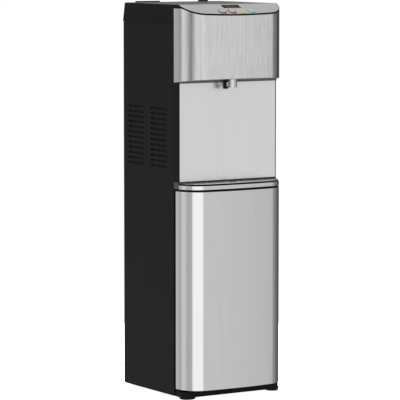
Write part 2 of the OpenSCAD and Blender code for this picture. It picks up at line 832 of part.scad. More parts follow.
// Door: bow-fronted steel skin between two end caps, closed by a ribbed liner
door_back = front_y - grip_gap;
cap_t = 4;
liner_t = 2.5;
magnet_t = 1.5;

module door_skin() {
    color(steel) front_wall(door_z, door_h, 0, skin_t, door_back);
}

module door_caps() {
    t = skin_t + fit / 2;
    depth = 14;
    color(black) difference() {
        for (z = [door_z, door_top - depth]) difference() {
            front_slab(z, depth, t, door_back - liner_t - fit);
            translate([0, 0, z == door_z ? cap_t : -cap_t])
                front_slab(z, depth, t + wall_t, door_back - liner_t - fit - wall_t);
        }
        for (z = [door_z, door_top]) translate([hinge_x, hinge_y]) post(pin_d + 2 * run_gap, z - 20, z + 20);
    }
    color(black) for (z = [door_z + cap_t - eps, door_top - depth]) translate([hinge_x, hinge_y])
        difference() {
        post(boss_d - 2, z, z + depth - cap_t + eps);
        post(pin_d + 2 * run_gap, z - 1, z + depth + 1);
    }
}

module door_liner() {
    t = skin_t + fit / 2;
    w = body_w - 2 * t;
    color(black) difference() {
        translate([0, door_back - liner_t / 2, 0]) block(w, liner_t, door_z + 0.5, door_top - 0.5);
        translate([0, door_back, 0]) difference() {
            block(w - 70, 2, door_z + 30, door_top - 30);
            block(w - 76, 3, door_z + 33, door_top - 33);
        }
        translate([catch_x, door_back, 0]) block(12, 2 * magnet_t + fit, catch_z - 21, catch_z + 21);
    }
    color(black) for (z = [door_z + 80 : 90 : door_top - 60]) translate([0, door_back - liner_t - 7, 0])
        block(w - 120, 14 + eps, z, z + 2);
}

// Magnet in the door's free edge and the plate it holds on to
module door_magnet() {
    color(dark_grey) translate([catch_x, door_back - magnet_t / 2, 0])
        block(11.4, magnet_t, catch_z - 20.7, catch_z + 20.7);
}

module strike_plate() {
    color(silver) translate([catch_x, door_back + fit + sheet_t / 2, 0])
        block(catch_w, sheet_t, catch_z - catch_h / 2, catch_z + catch_h / 2);
}

// Hinge pins: the lower one stands in the plinth, the upper one hangs from the tray housing
module hinge_pins() {
    color(silver) translate([hinge_x, hinge_y]) {
        post(pin_d, nose_z + 2 + fit, door_z + 12);
        post(pin_d, door_top - 12, tray_z + shelf_t - 0.2);
    }
}

// Filter bay: moulded tub behind the door
bay_back = front_y + 86;
bay_in_w = bay_mouth + 2;

module filter_bay() {
    flange = 8;
    color(dark_grey) difference() {
        union() {
            translate([0, (front_y + bay_back) / 2, 0])
                block(bay_in_w + 2 * wall_t, bay_back - front_y, bay_floor - 1 - wall_t,
                    bay_top + 1 + wall_t);
            translate([0, front_y + 1, 0])
                block(bay_in_w + 2 * flange, 2, bay_floor - flange, bay_top + flange);
        }
        translate([0, front_y - 1, 0])
            block(bay_in_w, 2 * (bay_back - front_y - wall_t + 1), bay_floor - 1, bay_top + 1);
        for (x = [-1, 1]) translate([x * filter_x, bay_back, port_z]) rotate([90, 0, 0])
            post(line_d + 2 * fit, -5, 10);
    }
}

// Filter head: bracket with two sockets, each with entry slots and a groove for the cartridge's lugs
head_z = bay_top - 66;
port_z = head_z + 27;
head_y = front_y + 40;
socket_d = 48;
neck_d = 36;
lug_r = 21;
lug_h = 4;

module filter_head() {
    back = bay_back - wall_t - fit;
    color(foam_white) difference() {
        union() {
            translate([0, (head_y + back) / 2, 0])
                block(2 * filter_x + 30, back - head_y, head_z + 20, head_z + 34);
            translate([0, back - 2, 0]) block(2 * filter_x + 60, 4, head_z - 4, head_z + 44);
            for (x = [-1, 1]) translate([x * filter_x, head_y]) post(socket_d, head_z, head_z + 34);
        }
        for (x = [-1, 1]) translate([x * filter_x, head_y]) {
            post(neck_d + 2 * fit, head_z - 1, head_z + 20);
            post(2 * lug_r + 2 * fit, head_z + 5, head_z + 5 + lug_h + 2 * fit);
            block(2 * lug_r + 1, 12, head_z - 1, head_z + 6);
        }
        for (x = [-1, 1]) translate([x * filter_x, 0, port_z]) rotate([90, 0, 0])
            post(line_d, -back - 1, -head_y);
    }
}

// Filter cartridges: domed canisters with a grooved grip and two lugs that lock at right angles to the slots
module cartridge(x) {
    shoulder = 14;
    top = head_z - 3;
    color(foam_white) translate([x, head_y]) difference() {
        union() {
            rotate_extrude() polygon([[0, top - filter_l], [filter_d / 2 - 8, top - filter_l],
                [filter_d / 2, top - filter_l + 8], [filter_d / 2, top - shoulder], [neck_d / 2, top],
                [neck_d / 2, head_z + 18], [0, head_z + 18]]);
            rotate(90) intersection() {
                block(2 * lug_r + 2, 10, head_z + 5 + fit, head_z + 5 + fit + lug_h);
                post(2 * lug_r, head_z, head_z + 20);
            }
        }
        for (a = [0 : 30 : 330]) rotate(a) translate([filter_d / 2 + 1, 0])
            post(6, top - 70, top - shoulder - 6);
    }
}

module filter_1() { cartridge(-filter_x); }

module filter_2() { cartridge(filter_x); }

// Shelves: folded sheets across the cabinet over the compressor and under the cold tank
module folded_shelf(z, y1, y2) {
    difference() {
        translate([0, (y1 + y2) / 2, 0]) block(2 * inner_w, y2 - y1, z - 14, z);
        translate([0, (y1 + y2) / 2, 0]) block(2 * (inner_w - sheet_t), y2 - y1 + 2, z - 15, z - sheet_t);
    }
}

riser_x = half_w - 19;
riser_y = recess_y - 16;
suction_y = recess_y - 12;

module shelves() {
    color(silver) {
        difference() {
            folded_shelf(bay_z, bay_back + 1, recess_y - sheet_t - fit);
            translate([0, suction_y]) post(tube_d + 6, bay_z - 20, bay_z + 2);
        }
        difference() {
            folded_shelf(tank_z, front_y + sheet_t + fit, recess_y - sheet_t - fit);
            for (x = [-1, 1]) translate([x * riser_x, riser_y]) post(line_d + 8, tank_z - 20, tank_z + 2);
            translate([0, tank_y + coil_d / 2]) post(tube_d + 6, tank_z - 20, tank_z + 2);
        }
    }
}

// Cold tank with its lid, in two foam halves, with the evaporator wound round it
tank_y = front_y + 118;
coil_gap = 0.5;
coil_tube = 6;
coil_d = tank_d + 2 * coil_gap + coil_tube;
cavity_d = coil_d + coil_tube + 2 * coil_gap;
foam_d = cavity_d + 2 * foam_t - 8;
foam_floor = 18;
can_t = 1;
tank_base = tank_z + fit + foam_floor;
foam_top = tank_base + tank_h + foam_floor;
coil_turns = 8;
coil_pitch = 17;
coil_z = tank_base + 26;

feed_y = tank_y + 40;
outlet_y = tank_y - 20;
port_x = 34;

// Thin steel can with bevelled ends, standing on its own base
module can(d, h, bevel) {
    r = d / 2;
    rotate_extrude() difference() {
        polygon([[0, 0], [r - bevel, 0], [r, bevel], [r, h - bevel], [r - bevel, h], [0, h]]);
        polygon([[-1, can_t], [r - bevel, can_t], [r - can_t, bevel], [r - can_t, h - bevel],
            [r - bevel, h - can_t], [-1, h - can_t]]);
    }
}

module cold_tank() {
    color(steel) translate([0, tank_y, tank_base + fit]) can(tank_d, tank_h - 2 * fit, 12);
}

module foam_half(z1, z2) {
    difference() {
        post(foam_d, z1, z2);
        post(cavity_d, tank_base, foam_top - foam_floor);
    }
}

module tank_foam() {
    split = (tank_base + foam_top) / 2;
    color(foam_white) translate([0, tank_y, 0]) difference() {
        union() {
            foam_half(tank_z + fit, split);
            foam_half(split + fit, foam_top);
        }
        translate([0, coil_d / 2, 0]) post(tube_d + 1, tank_z, tank_base + 1);
        for (y = [feed_y, outlet_y]) translate([port_x, y - tank_y, 0])
            post(line_d + 2 * fit, foam_top - foam_floor - 1, foam_top + 1);
    }
}

module evaporator_coil() {
    steps = 36;
    color(copper) translate([0, tank_y, 0]) sweep([for (i = [0 : coil_turns * steps])
        [coil_d / 2 * sin(i * 360 / steps), coil_d / 2 * cos(i * 360 / steps),
        coil_z + i * coil_pitch / steps]],
        coil_tube, 6);
}

// Hot tank in its jacket, on the machine shelf
hot_x = 77 - half_w;
hot_y = recess_y - 77;
hot_tank_d = hot_d - 24;
hot_feed_z = bay_z + hot_h / 4;

module hot_tank() {
    color(steel) translate([hot_x, hot_y, bay_z + 14]) can(hot_tank_d, hot_h - 28, 8);
}

module hot_jacket() {
    color(silver) translate([hot_x, hot_y]) difference() {
        post(hot_d, bay_z + fit, bay_z + hot_h);
        post(hot_tank_d + 2 * fit, bay_z + 14 - fit, bay_z + hot_h - 14 + fit);
        post(line_d + 2 * fit, bay_z + 20, bay_z + hot_h + 1);
        translate([0, 0, hot_feed_z]) rotate([0, 90, 0]) post(line_d + 2 * fit, 0, hot_d);
        translate([drain_x - hot_x, 0, drain_z]) rotate([-90, 0, 0]) post(line_d + 2 * fit, 0, hot_d);
    }
}

// Compressor: domed shell on a foot plate and four rubber mounts
comp_x = 30;
comp_y = recess_y - 74;
mount_h = 12;
comp_foot_z = deck_top + fit + mount_h;
shell_step = 2;
comp_feet = [for (x = [-1, 1], y = [-1, 1]) [x * 56, y * 52]];

module compressor() {
    r = comp_d / 2;
    z = comp_foot_z + fit;
    color(black) translate([comp_x, comp_y]) {
        translate([0, 0, z + 3 - eps]) rotate_extrude() difference() {
            polygon([[0, 0], [r - 22, 0], [r - 6, 8], [r - shell_step, 22],
                [r - shell_step, comp_h * 0.45], [r, comp_h * 0.45], [r, comp_h * 0.5],
                [r - shell_step, comp_h * 0.5],
                [r - 4, comp_h - 34], [r - 20, comp_h - 12], [r - 42, comp_h - 3], [0, comp_h]]);
            translate([-1, 20]) square([r - 14, comp_h - 60]);
        }
        difference() {
            rise(z, z + 3) round_rect(132, 124, 12);
            for (p = comp_feet) translate(p) post(10 + 2 * fit, z - 1, z + 4);
        }
    }
}

module compressor_mounts() {
    color(black) for (p = comp_feet) translate([comp_x, comp_y] + p) rotate_extrude()
        polygon([[0, deck_top], [11, deck_top], [9, deck_top + mount_h / 2], [11, comp_foot_z],
            [5, comp_foot_z], [5, comp_foot_z + 8], [0, comp_foot_z + 8]]);
}

// Condenser: one tube in level passes joined by return bends, and upright wires on both sides of it
cond_z = bay_z + 62;
cond_y = rear_face + fit + wire_d + tube_d / 2;
cond_top = cond_z + (pass_n - 1) * pass_pitch;

module condenser() {
    run = cond_w - pass_pitch;
    spread = run - 8;
    color(black) translate([0, cond_y, cond_z]) {
        for (i = [0 : pass_n - 1]) translate([0, 0, i * pass_pitch]) rotate([0, 90, 0])
            cylinder(d = tube_d, h = run, center = true);
        for (i = [0 : pass_n - 2]) translate([(i % 2 == 0 ? 1 : -1) * run / 2, 0, (i + 0.5) * pass_pitch])
            rotate([90, 0, 0]) rotate(i % 2 == 0 ? -90 : 90) rotate_extrude(angle = 180)
                translate([pass_pitch / 2, 0]) circle(d = tube_d);
        for (s = [-1, 1], i = [0 : wire_n - 1])
            translate([i * spread / (wire_n - 1) - spread / 2, s * (tube_d + wire_d) / 2, -10])
                cylinder(d = wire_d, h = cond_top - cond_z + 20, $fn = 16);
    }
}

// Copper lines: hot gas to the condenser, and suction from the coil to the compressor
module cooling_lines() {
    z = comp_foot_z + 60;
    line_off = 10;
    line_y = comp_y + line_off;
    side = fit + sqrt(pow(comp_d / 2 - shell_step, 2) - pow(line_off - tube_d / 2, 2));
    over_comp = comp_foot_z + comp_h + 18;
    gas_x = -cond_w / 2 + 2;
    low_z = tank_z - 40;
    color(copper) {
        pipe([[comp_x - side, line_y, z], [comp_x - side - 12, line_y, z], [comp_x - side - 12, cond_y, z],
            [comp_x - side - 12, cond_y, over_comp], [gas_x, cond_y, over_comp], [gas_x, cond_y, cond_z],
            [pass_pitch / 2 - cond_w / 2 - fit, cond_y, cond_z]], tube_d, 10);
        pipe([[comp_x + side, line_y, z], [comp_x + side + 12, line_y, z],
            [comp_x + side + 12, line_y, over_comp], [0, suction_y, over_comp], [0, suction_y, low_z],
            [0, tank_y + coil_d / 2, low_z], [0, tank_y + coil_d / 2, coil_z - coil_tube / 2]], tube_d, 10);
    }
}

// Inlet and dispensing valves
valve_w = 34;
valve_d = 26;
valve_h = 44;
valve_x = 16;
valve_y = front_y + 113;
tap_y = front_y + 60;

module valve(z) {
    block(valve_w, valve_d, z, z + 16);
    post(24, z + 16 - eps, z + valve_h);
}

module water_valves() {
    color([0.2, 0.3, 0.55]) {
        translate([valve_x, valve_y]) valve(bay_z + fit);
        for (x = [-port_x, port_x]) translate([x, tap_y]) valve(foam_top + fit);
    }
}

// Water lines: inlet to filters, filters to both tanks, tanks to spout, and hot tank to drain
module water_lines() {
    side_y = bay_back + 14;
    head_back = bay_back - wall_t - 6;
    inlet_end = rear_face - 14 - fit;
    valve_z = bay_z + 8;
    tank_top = foam_top - foam_floor + fit;
    high = foam_top + 30;
    low = foam_top + 8;
    crossing = bay_z + hot_h + 26;
    drop_y = front_y - 9;
    block_z = spout_top + 12;
    drain_end = hot_y + fit + sqrt(pow(hot_tank_d / 2, 2) - pow(hot_x - drain_x - line_d / 2, 2));
    color(foam_white) {
        pipe([[inlet_x, inlet_end, inlet_z], [inlet_x, side_y, inlet_z], [inlet_x, side_y, port_z],
            [filter_x, side_y, port_z], [filter_x, head_back, port_z]], line_d, 10);
        pipe([[-filter_x, head_back, port_z], [-filter_x, side_y, port_z], [valve_x, side_y, port_z],
            [valve_x, valve_y, port_z - 40], [valve_x, valve_y, bay_z + valve_h + 2 * fit]], line_d, 10);
        pipe([[valve_x + valve_w / 2 + fit, valve_y, valve_z], [riser_x, valve_y, valve_z],
            [riser_x, riser_y, valve_z], [riser_x, riser_y, high], [port_x, riser_y, high],
            [port_x, feed_y, high], [port_x, feed_y, tank_top]], line_d, 10);
        pipe([[valve_x, valve_y + valve_d / 2 + fit, valve_z], [valve_x, hot_y, valve_z],
            [valve_x, hot_y, hot_feed_z], [hot_x + hot_tank_d / 2 + fit, hot_y, hot_feed_z]], line_d, 10);
        pipe([[port_x, outlet_y, tank_top], [port_x, outlet_y, low],
            [port_x, tap_y + valve_d / 2 + fit, low]],
            line_d, 8);
        pipe([[hot_x, hot_y, bay_z + hot_h - 14 + fit], [hot_x, hot_y, crossing],
            [-riser_x, riser_y, crossing],
            [-riser_x, riser_y, low], [-port_x, riser_y, low], [-port_x, tap_y + valve_d / 2 + fit, low]],
            line_d, 10);
        for (s = [-1, 1]) pipe([[s * port_x, tap_y - valve_d / 2 - fit, low], [s * port_x, drop_y, low],
            [s * 10, drop_y, block_z], [s * 10, spout_y + 24 + fit, block_z]], line_d, 8);
        rear_fitting(drain_x, drain_z) post(line_d, drain_end - rear_face, -10 - fit);
    }
}

// Power box beside the hot tank
module power_box() {
    w = 70;
    color(silver) translate([half_w - 87, recess_y - 59]) {
        difference() {
            block(w, w, bay_z + fit, bay_z + 120);
            block(w - 3, w - 3, bay_z, bay_z + 118);
        }
        for (x = [-1, 1]) translate([x * (w / 2 + 4 - eps), 0]) block(8, 40, bay_z + fit, bay_z + 2);
    }
}

// Fittings in the rear panel: push-in water inlet, drain outlet, and the bush for the mains cord
gland_bore = 7;
drain_neck = 12;

module rear_fitting(x, z) translate([x, rear_face, z]) rotate([-90, 0, 0]) children();

// Flanged tube through the rear panel: flange outside, body inside, neck behind, bore right through
module bulkhead(d, flange, neck, inside, length, bore) {
    difference() {
        union() {
            post(d + flange, fit, 4);
            post(d, -inside, 4 - eps);
            post(neck, 4 - eps, length);
        }
        post(bore, -inside - 1, length + 1);
    }
}

module rear_fittings() {
    color(dark_grey) {
        rear_fitting(inlet_x, inlet_z) bulkhead(inlet_d, 6, 16, 14, 17, line_d);
        rear_fitting(drain_x, drain_z) bulkhead(drain_d, 6, drain_neck, 10, 14, 8);
        rear_fitting(gland_x, gland_z) bulkhead(gland_d, 5, gland_d - 4, 8, 12, gland_bore);
    }
}

// Drain cap with its sealing washer: the cap unscrews as the washer moves off the outlet
seal_t = 2;

module drain_seal() {
    color(black) rear_fitting(drain_x, drain_z) post(drain_neck, 14 + run_gap, 14 + run_gap + seal_t);
}

module drain_cap() {
    color(black) rear_fitting(drain_x, drain_z) difference() {
        post(19, 4 + fit, 19);
        for (a = [0 : 30 : 330]) rotate(a) translate([10.2, 0, 0]) post(3.6, 4, 17);
        post(drain_neck + 2 * run_gap, 4, 14 + seal_t + 2 * run_gap);
    }
}

// Rear switches for heating and cooling: snap-in frames with rockers on trunnions
rocker_tilt = 8;
rocker_in = 2;
rocker_r = 12.2;
trunnion_d = 2.4;

module switch_frames() {
    color(black) for (s = [-0.5, 0.5])
        rear_fitting(switch_x + s * switch_gap, switch_z) difference() {
            union() {
                block(switch_w + 4, switch_l + 4, fit, 2);
                block(switch_w, switch_l, -12, fit + eps);
            }
            block(switch_w - 5, switch_l - 5, -10, 3);
            translate([0, 0, -rocker_in]) rotate([0, 90, 0])
                post(trunnion_d + 2 * run_gap, 1 - switch_w / 2, switch_w / 2 - 1);
        }
}

module rocker(s) {
    w = switch_w - 5.6;
    color(black) rear_fitting(switch_x + s * switch_gap, switch_z) translate([0, 0, -rocker_in])
        rotate([rocker_tilt, 0, 0]) rotate([90, 0, 90]) {
            linear_extrude(w, center = true) intersection() {
                circle(rocker_r);
                polygon([[-rocker_r, 4.4], [0, 2.6], [rocker_r, 4.4], [rocker_r, -3], [-rocker_r, -3]]);
            }
            post(trunnion_d, 1.3 - switch_w / 2, switch_w / 2 - 1.3);
        }
}

module heat_rocker() { rocker(-0.5); }

module cool_rocker() { rocker(0.5); }

plinth();
feet();
left_side_panel();
right_side_panel();
rear_panel();
top_cap();
vent_cap();
upper_frame();
alcove_plate();
lower_frame();
fascia_skin();
fascia_carrier();
control_panel();
display_lens();
red_rings();
green_ring();
teal_ring();
button_1();
button_2();
button_3();
button_4();
button_carrier();
control_board();
spout();
spout_core();
spout_bracket();
spout_block();
tray_housing();
drip_tray();
tray_band();
drip_grille();
door_skin();
door_liner();
door_caps();
door_magnet();
strike_plate();
hinge_pins();
filter_bay();
filter_head();
filter_1();
filter_2();
shelves();
cold_tank();
tank_foam();
evaporator_coil();
hot_tank();
hot_jacket();
compressor();
compressor_mounts();
condenser();
cooling_lines();
water_lines();
water_valves();
power_box();
rear_fittings();
drain_seal();
drain_cap();
switch_frames();
heat_rocker();
cool_rocker();
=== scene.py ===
# Bottleless water cooler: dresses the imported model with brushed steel, folded sheets with louvres,
# rounded mouldings, a pierced grille, screws and finishes.
import json
import math
import bmesh
import bpy
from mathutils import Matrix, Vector

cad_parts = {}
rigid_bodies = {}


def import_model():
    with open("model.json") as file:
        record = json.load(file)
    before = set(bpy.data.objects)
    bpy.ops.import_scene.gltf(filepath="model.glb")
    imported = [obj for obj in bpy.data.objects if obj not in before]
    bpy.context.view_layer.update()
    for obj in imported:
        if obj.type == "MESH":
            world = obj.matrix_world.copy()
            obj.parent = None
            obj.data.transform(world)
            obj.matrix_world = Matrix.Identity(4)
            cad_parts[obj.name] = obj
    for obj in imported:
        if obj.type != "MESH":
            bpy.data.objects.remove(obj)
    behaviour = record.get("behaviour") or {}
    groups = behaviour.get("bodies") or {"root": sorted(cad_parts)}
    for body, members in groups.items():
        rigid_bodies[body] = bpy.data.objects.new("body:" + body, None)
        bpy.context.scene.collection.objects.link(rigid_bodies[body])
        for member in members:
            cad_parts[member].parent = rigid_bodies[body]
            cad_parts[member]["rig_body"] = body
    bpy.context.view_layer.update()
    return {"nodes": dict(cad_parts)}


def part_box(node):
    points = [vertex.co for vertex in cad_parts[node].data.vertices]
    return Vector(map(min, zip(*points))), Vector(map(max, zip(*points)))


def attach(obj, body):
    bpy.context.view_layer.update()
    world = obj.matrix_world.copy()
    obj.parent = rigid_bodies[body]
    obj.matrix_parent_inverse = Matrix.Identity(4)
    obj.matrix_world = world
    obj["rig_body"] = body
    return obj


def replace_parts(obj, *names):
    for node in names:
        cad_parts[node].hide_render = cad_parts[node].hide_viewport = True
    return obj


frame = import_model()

scene = bpy.context.scene
scene.view_settings.view_transform = "Standard"
nodes = frame["nodes"]
mm = 0.001

# camera, soft room, top light and floor
studio = {
    "cameraPlace": (-3.831, -6.057, 1.226),  # m
    "cameraTurn": (84.3, 0.0, -32.2),  # degrees
    "lens": 242.1,  # mm
    "sensor": 36.0,  # mm
    "farthest": 200.0,  # m
    "sunStrength": 2.2,
    "sunSpread": 80.0,  # degrees
    "sunTurn": (-12.0, -14.0, 0.0),  # degrees
    "floorRadius": 1.25,  # m
    "floorSides": 96,
    "floorGlow": 1.0,
    "ceiling": 0.9,  # brightness overhead
    "ceilingFrom": 0.02,  # sine of the height at which the walls start to give way to the ceiling
    "ceilingTo": 0.45,
    "ground": 0.72,  # brightness below, seen only in the steel from high views
    "groundFrom": 0.2,
    "groundTo": 0.6,
    "blend": 3.0,  # degrees over which one band of the walls runs into the next
    "brightest": 2.0,  # brightness at the top of the walls' curve
    # bands of the walls: compass angle where each starts (0 in front, positive to the right), brightness
    "bands": [(-180, 0.72), (-144, 0.60), (-119, 0.87), (-89, 0.63), (-53, 1.40), (5, 0.84),
              (26, 0.815), (36, 0.773), (46, 0.69), (60, 0.38), (80, 0.22), (100, 0.12), (150, 0.30),
              (168, 0.72)],
}


def setInputs(tree, made, values):
    for name, value in values.items():
        if isinstance(value, bpy.types.NodeSocket):
            tree.links.new(value, made.inputs[name])
        else:
            made.inputs[name].default_value = value


def addNode(tree, kind, settings=None, values=None):
    made = tree.nodes.new(kind)
    for name, value in (settings or {}).items():
        setattr(made, name, value)
    setInputs(tree, made, values or {})
    return made


def mathNode(tree, operation, *values):
    return addNode(tree, "ShaderNodeMath", {"operation": operation}, dict(enumerate(values))).outputs[0]


def fillWallCurve(curve, look):
    stops = [(-180.0, look["bands"][0][1])]
    for (start, level), (_, before) in zip(look["bands"][1:], look["bands"]):
        stops += [(start - look["blend"], before), (start + look["blend"], level)]
    stops.append((180.0, look["bands"][-1][1]))
    points = curve.mapping.curves[0].points
    while len(points) < len(stops):
        points.new(0.5, 0.5)
    for point, (angle, level) in zip(points, stops):
        point.location = ((angle + 180) / 360, level / look["brightest"])
        point.handle_type = "VECTOR"
    curve.mapping.update()


def buildRoom(look):
    room = bpy.data.worlds.new("room")
    room.use_nodes = True
    tree = room.node_tree
    tree.nodes.clear()
    place = addNode(tree, "ShaderNodeTexCoord")
    split = addNode(tree, "ShaderNodeSeparateXYZ", values={0: place.outputs["Generated"]})
    front = mathNode(tree, "MULTIPLY", split.outputs["Y"], -1.0)
    compass = mathNode(tree, "ARCTAN2", split.outputs["X"], front)
    turn = addNode(tree, "ShaderNodeMapRange", values={
        "Value": compass, "From Min": -math.pi, "From Max": math.pi})
    curve = addNode(tree, "ShaderNodeFloatCurve", values={"Value": turn.outputs[0]})
    fillWallCurve(curve, look)
    level = mathNode(tree, "MULTIPLY", curve.outputs[0], look["brightest"])
    depth = mathNode(tree, "MULTIPLY", split.outputs["Z"], -1.0)
    for height, where in ((split.outputs["Z"], "ceiling"), (depth, "ground")):
        share = addNode(tree, "ShaderNodeMapRange", values={
            "Value": height, "From Min": look[where + "From"], "From Max": look[where + "To"]})
        level = addNode(tree, "ShaderNodeMix", values={
            0: share.outputs[0], 2: level, 3: look[where]}).outputs[0]
    soft = addNode(tree, "ShaderNodeBackground", values={"Strength": level})
    plain = addNode(tree, "ShaderNodeBackground", values={"Color": (1, 1, 1, 1)})
    rays = addNode(tree, "ShaderNodeLightPath")
    pick = addNode(tree, "ShaderNodeMixShader", values={
        0: rays.outputs["Is Camera Ray"], 1: soft.outputs[0], 2: plain.outputs[0]})
    addNode(tree, "ShaderNodeOutputWorld", values={"Surface": pick.outputs[0]})
    scene.world = room


def buildStudio(look):
    camera = bpy.data.objects.new("camera", bpy.data.cameras.new("camera"))
    camera.data.lens = look["lens"]
    camera.data.sensor_width = look["sensor"]
    camera.data.clip_end = look["farthest"]
    camera.location = look["cameraPlace"]
    camera.rotation_euler = [math.radians(a) for a in look["cameraTurn"]]
    scene.collection.objects.link(camera)
    scene.camera = camera
    sun = bpy.data.objects.new("topLight", bpy.data.lights.new("topLight", "SUN"))
    sun.data.energy = look["sunStrength"]
    sun.data.angle = math.radians(look["sunSpread"])
    sun.rotation_euler = [math.radians(a) for a in look["sunTurn"]]
    scene.collection.objects.link(sun)
    buildRoom(look)
    mesh = bpy.data.meshes.new("floor")
    bm = bmesh.new()
    bmesh.ops.create_circle(bm, cap_ends=True, segments=look["floorSides"], radius=look["floorRadius"])
    bm.to_mesh(mesh)
    bm.free()
    floor = bpy.data.objects.new("floor", mesh)
    scene.collection.objects.link(floor)
    floor.visible_glossy = False
    return floor


floor = buildStudio(studio)
print("studio ready")


# finishes
def newFinish(name):
    made = bpy.data.materials.new(name)
    made.use_nodes = True
    return made, made.node_tree, made.node_tree.nodes["Principled BSDF"]


def patternOn(tree, stretch):
    place = addNode(tree, "ShaderNodeTexCoord")
    return addNode(tree, "ShaderNodeMapping", values={
        "Vector": place.outputs["Object"], "Scale": stretch}).outputs["Vector"]


def noiseOn(tree, vector, scale, detail=2.0):
    return addNode(tree, "ShaderNodeTexNoise", values={
        "Vector": vector, "Scale": scale, "Detail": detail}).outputs["Fac"]


noiseSpan = (0.3, 0.7)  # nearly all of a noise lies between these


def spanOf(tree, value, low, high):
    return addNode(tree, "ShaderNodeMapRange", values={
        "Value": value, "From Min": noiseSpan[0], "From Max": noiseSpan[1], "To Min": low,
        "To Max": high}).outputs["Result"]


def shadeOf(tree, factor, dark, light):
    return addNode(tree, "ShaderNodeMix", {"data_type": "RGBA"}, {
        0: factor, 6: (*dark, 1), 7: (*light, 1)}).outputs[2]


def roughOf(tree, value, look):
    return spanOf(tree, value, look["rough"] - look["roughSpan"], look["rough"] + look["roughSpan"])


def bumpOf(tree, height, strength, depth):
    return addNode(tree, "ShaderNodeBump", values={
        "Height": height, "Strength": strength, "Distance": depth}).outputs["Normal"]


# darkens a colour in bands across x: a painted reflection of the room's bands
def paintReflectionBands(tree, shade, tones, shift):
    place = addNode(tree, "ShaderNodeTexCoord")
    split = addNode(tree, "ShaderNodeSeparateXYZ", values={0: place.outputs["Object"]})
    widest = tones[-1][0]
    offMiddle = mathNode(tree, "ADD", split.outputs["X"], shift * mm)
    reach = mathNode(tree, "DIVIDE", mathNode(tree, "ABSOLUTE", offMiddle), widest * mm)
    ramp = addNode(tree, "ShaderNodeValToRGB", values={"Fac": reach})
    stops = ramp.color_ramp.elements
    while len(stops) < len(tones):
        stops.new(0.5)
    for stop, (at, tone) in zip(stops, tones):
        stop.position = at / widest
        stop.color = (tone, tone, tone, 1)
    return addNode(tree, "ShaderNodeMix", {"data_type": "RGBA", "blend_type": "MULTIPLY"}, {
        0: 1.0, 6: shade, 7: ramp.outputs["Color"]}).outputs[2]


brush = {"fineShare": 0.35, "depth": 0.0001}  # share of the single lines in the brushing, m


def brushedSteel(name, look):
    made, tree, shader = newFinish(name)
    along = patternOn(tree, look["lines"])
    fine = noiseOn(tree, along, look["fine"], detail=3.0)  # single brush lines
    broad = noiseOn(tree, along, look["broad"])  # bundles of lines
    # slow streaks left by the rolling
    wave = noiseOn(tree, patternOn(tree, look["waveLines"]), look["wave"], detail=3.0)
    bundles = mathNode(tree, "MULTIPLY", broad, 1.0 - brush["fineShare"])
    lines = mathNode(tree, "MULTIPLY_ADD", fine, brush["fineShare"], bundles)
    calm = mathNode(tree, "MULTIPLY", lines, 1.0 - look["waveShare"])
    streak = mathNode(tree, "MULTIPLY_ADD", wave, look["waveShare"], calm)
    shade = shadeOf(tree, spanOf(tree, streak, 0, 1), look["dark"], look["light"])
    # painted reflection: darker bands across the fascia where its corners reflect the room's darker
    # walls
    if "paintedReflectionTone" in look:
        shade = paintReflectionBands(tree, shade, look["paintedReflectionTone"], look["paintedReflectionShift"])
    setInputs(tree, shader, {
        "Metallic": 1.0,
        "Base Color": shade,
        "Roughness": roughOf(tree, streak, look),
        "Normal": bumpOf(tree, lines, look["bump"], brush["depth"]),
    })
    return made


# what a moulded finish has where its own row doesn't say otherwise, depth in m
plainLook = {"metal": 0.0, "gloss": 0.5, "cloud": 14.0, "roughSpan": 0.05, "depth": 0.0002}


def mouldedFinish(name, row):
    look = {**plainLook, **row}
    made, tree, shader = newFinish(name)
    even = patternOn(tree, (1, 1, 1))
    grain = noiseOn(tree, even, look["grain"], detail=3.0)
    cloud = noiseOn(tree, even, look["cloud"], detail=3.0)
    setInputs(tree, shader, {
        "Metallic": look["metal"],
        "Specular IOR Level": look["gloss"],
        "Base Color": shadeOf(tree, spanOf(tree, cloud, 0, 1), look["dark"], look["light"]),
        "Roughness": roughOf(tree, cloud, look),
        "Normal": bumpOf(tree, grain, look["bump"], look["depth"]),
    })
    return made


def grey(level, tint=0.0):
    return (level, level, level + tint)


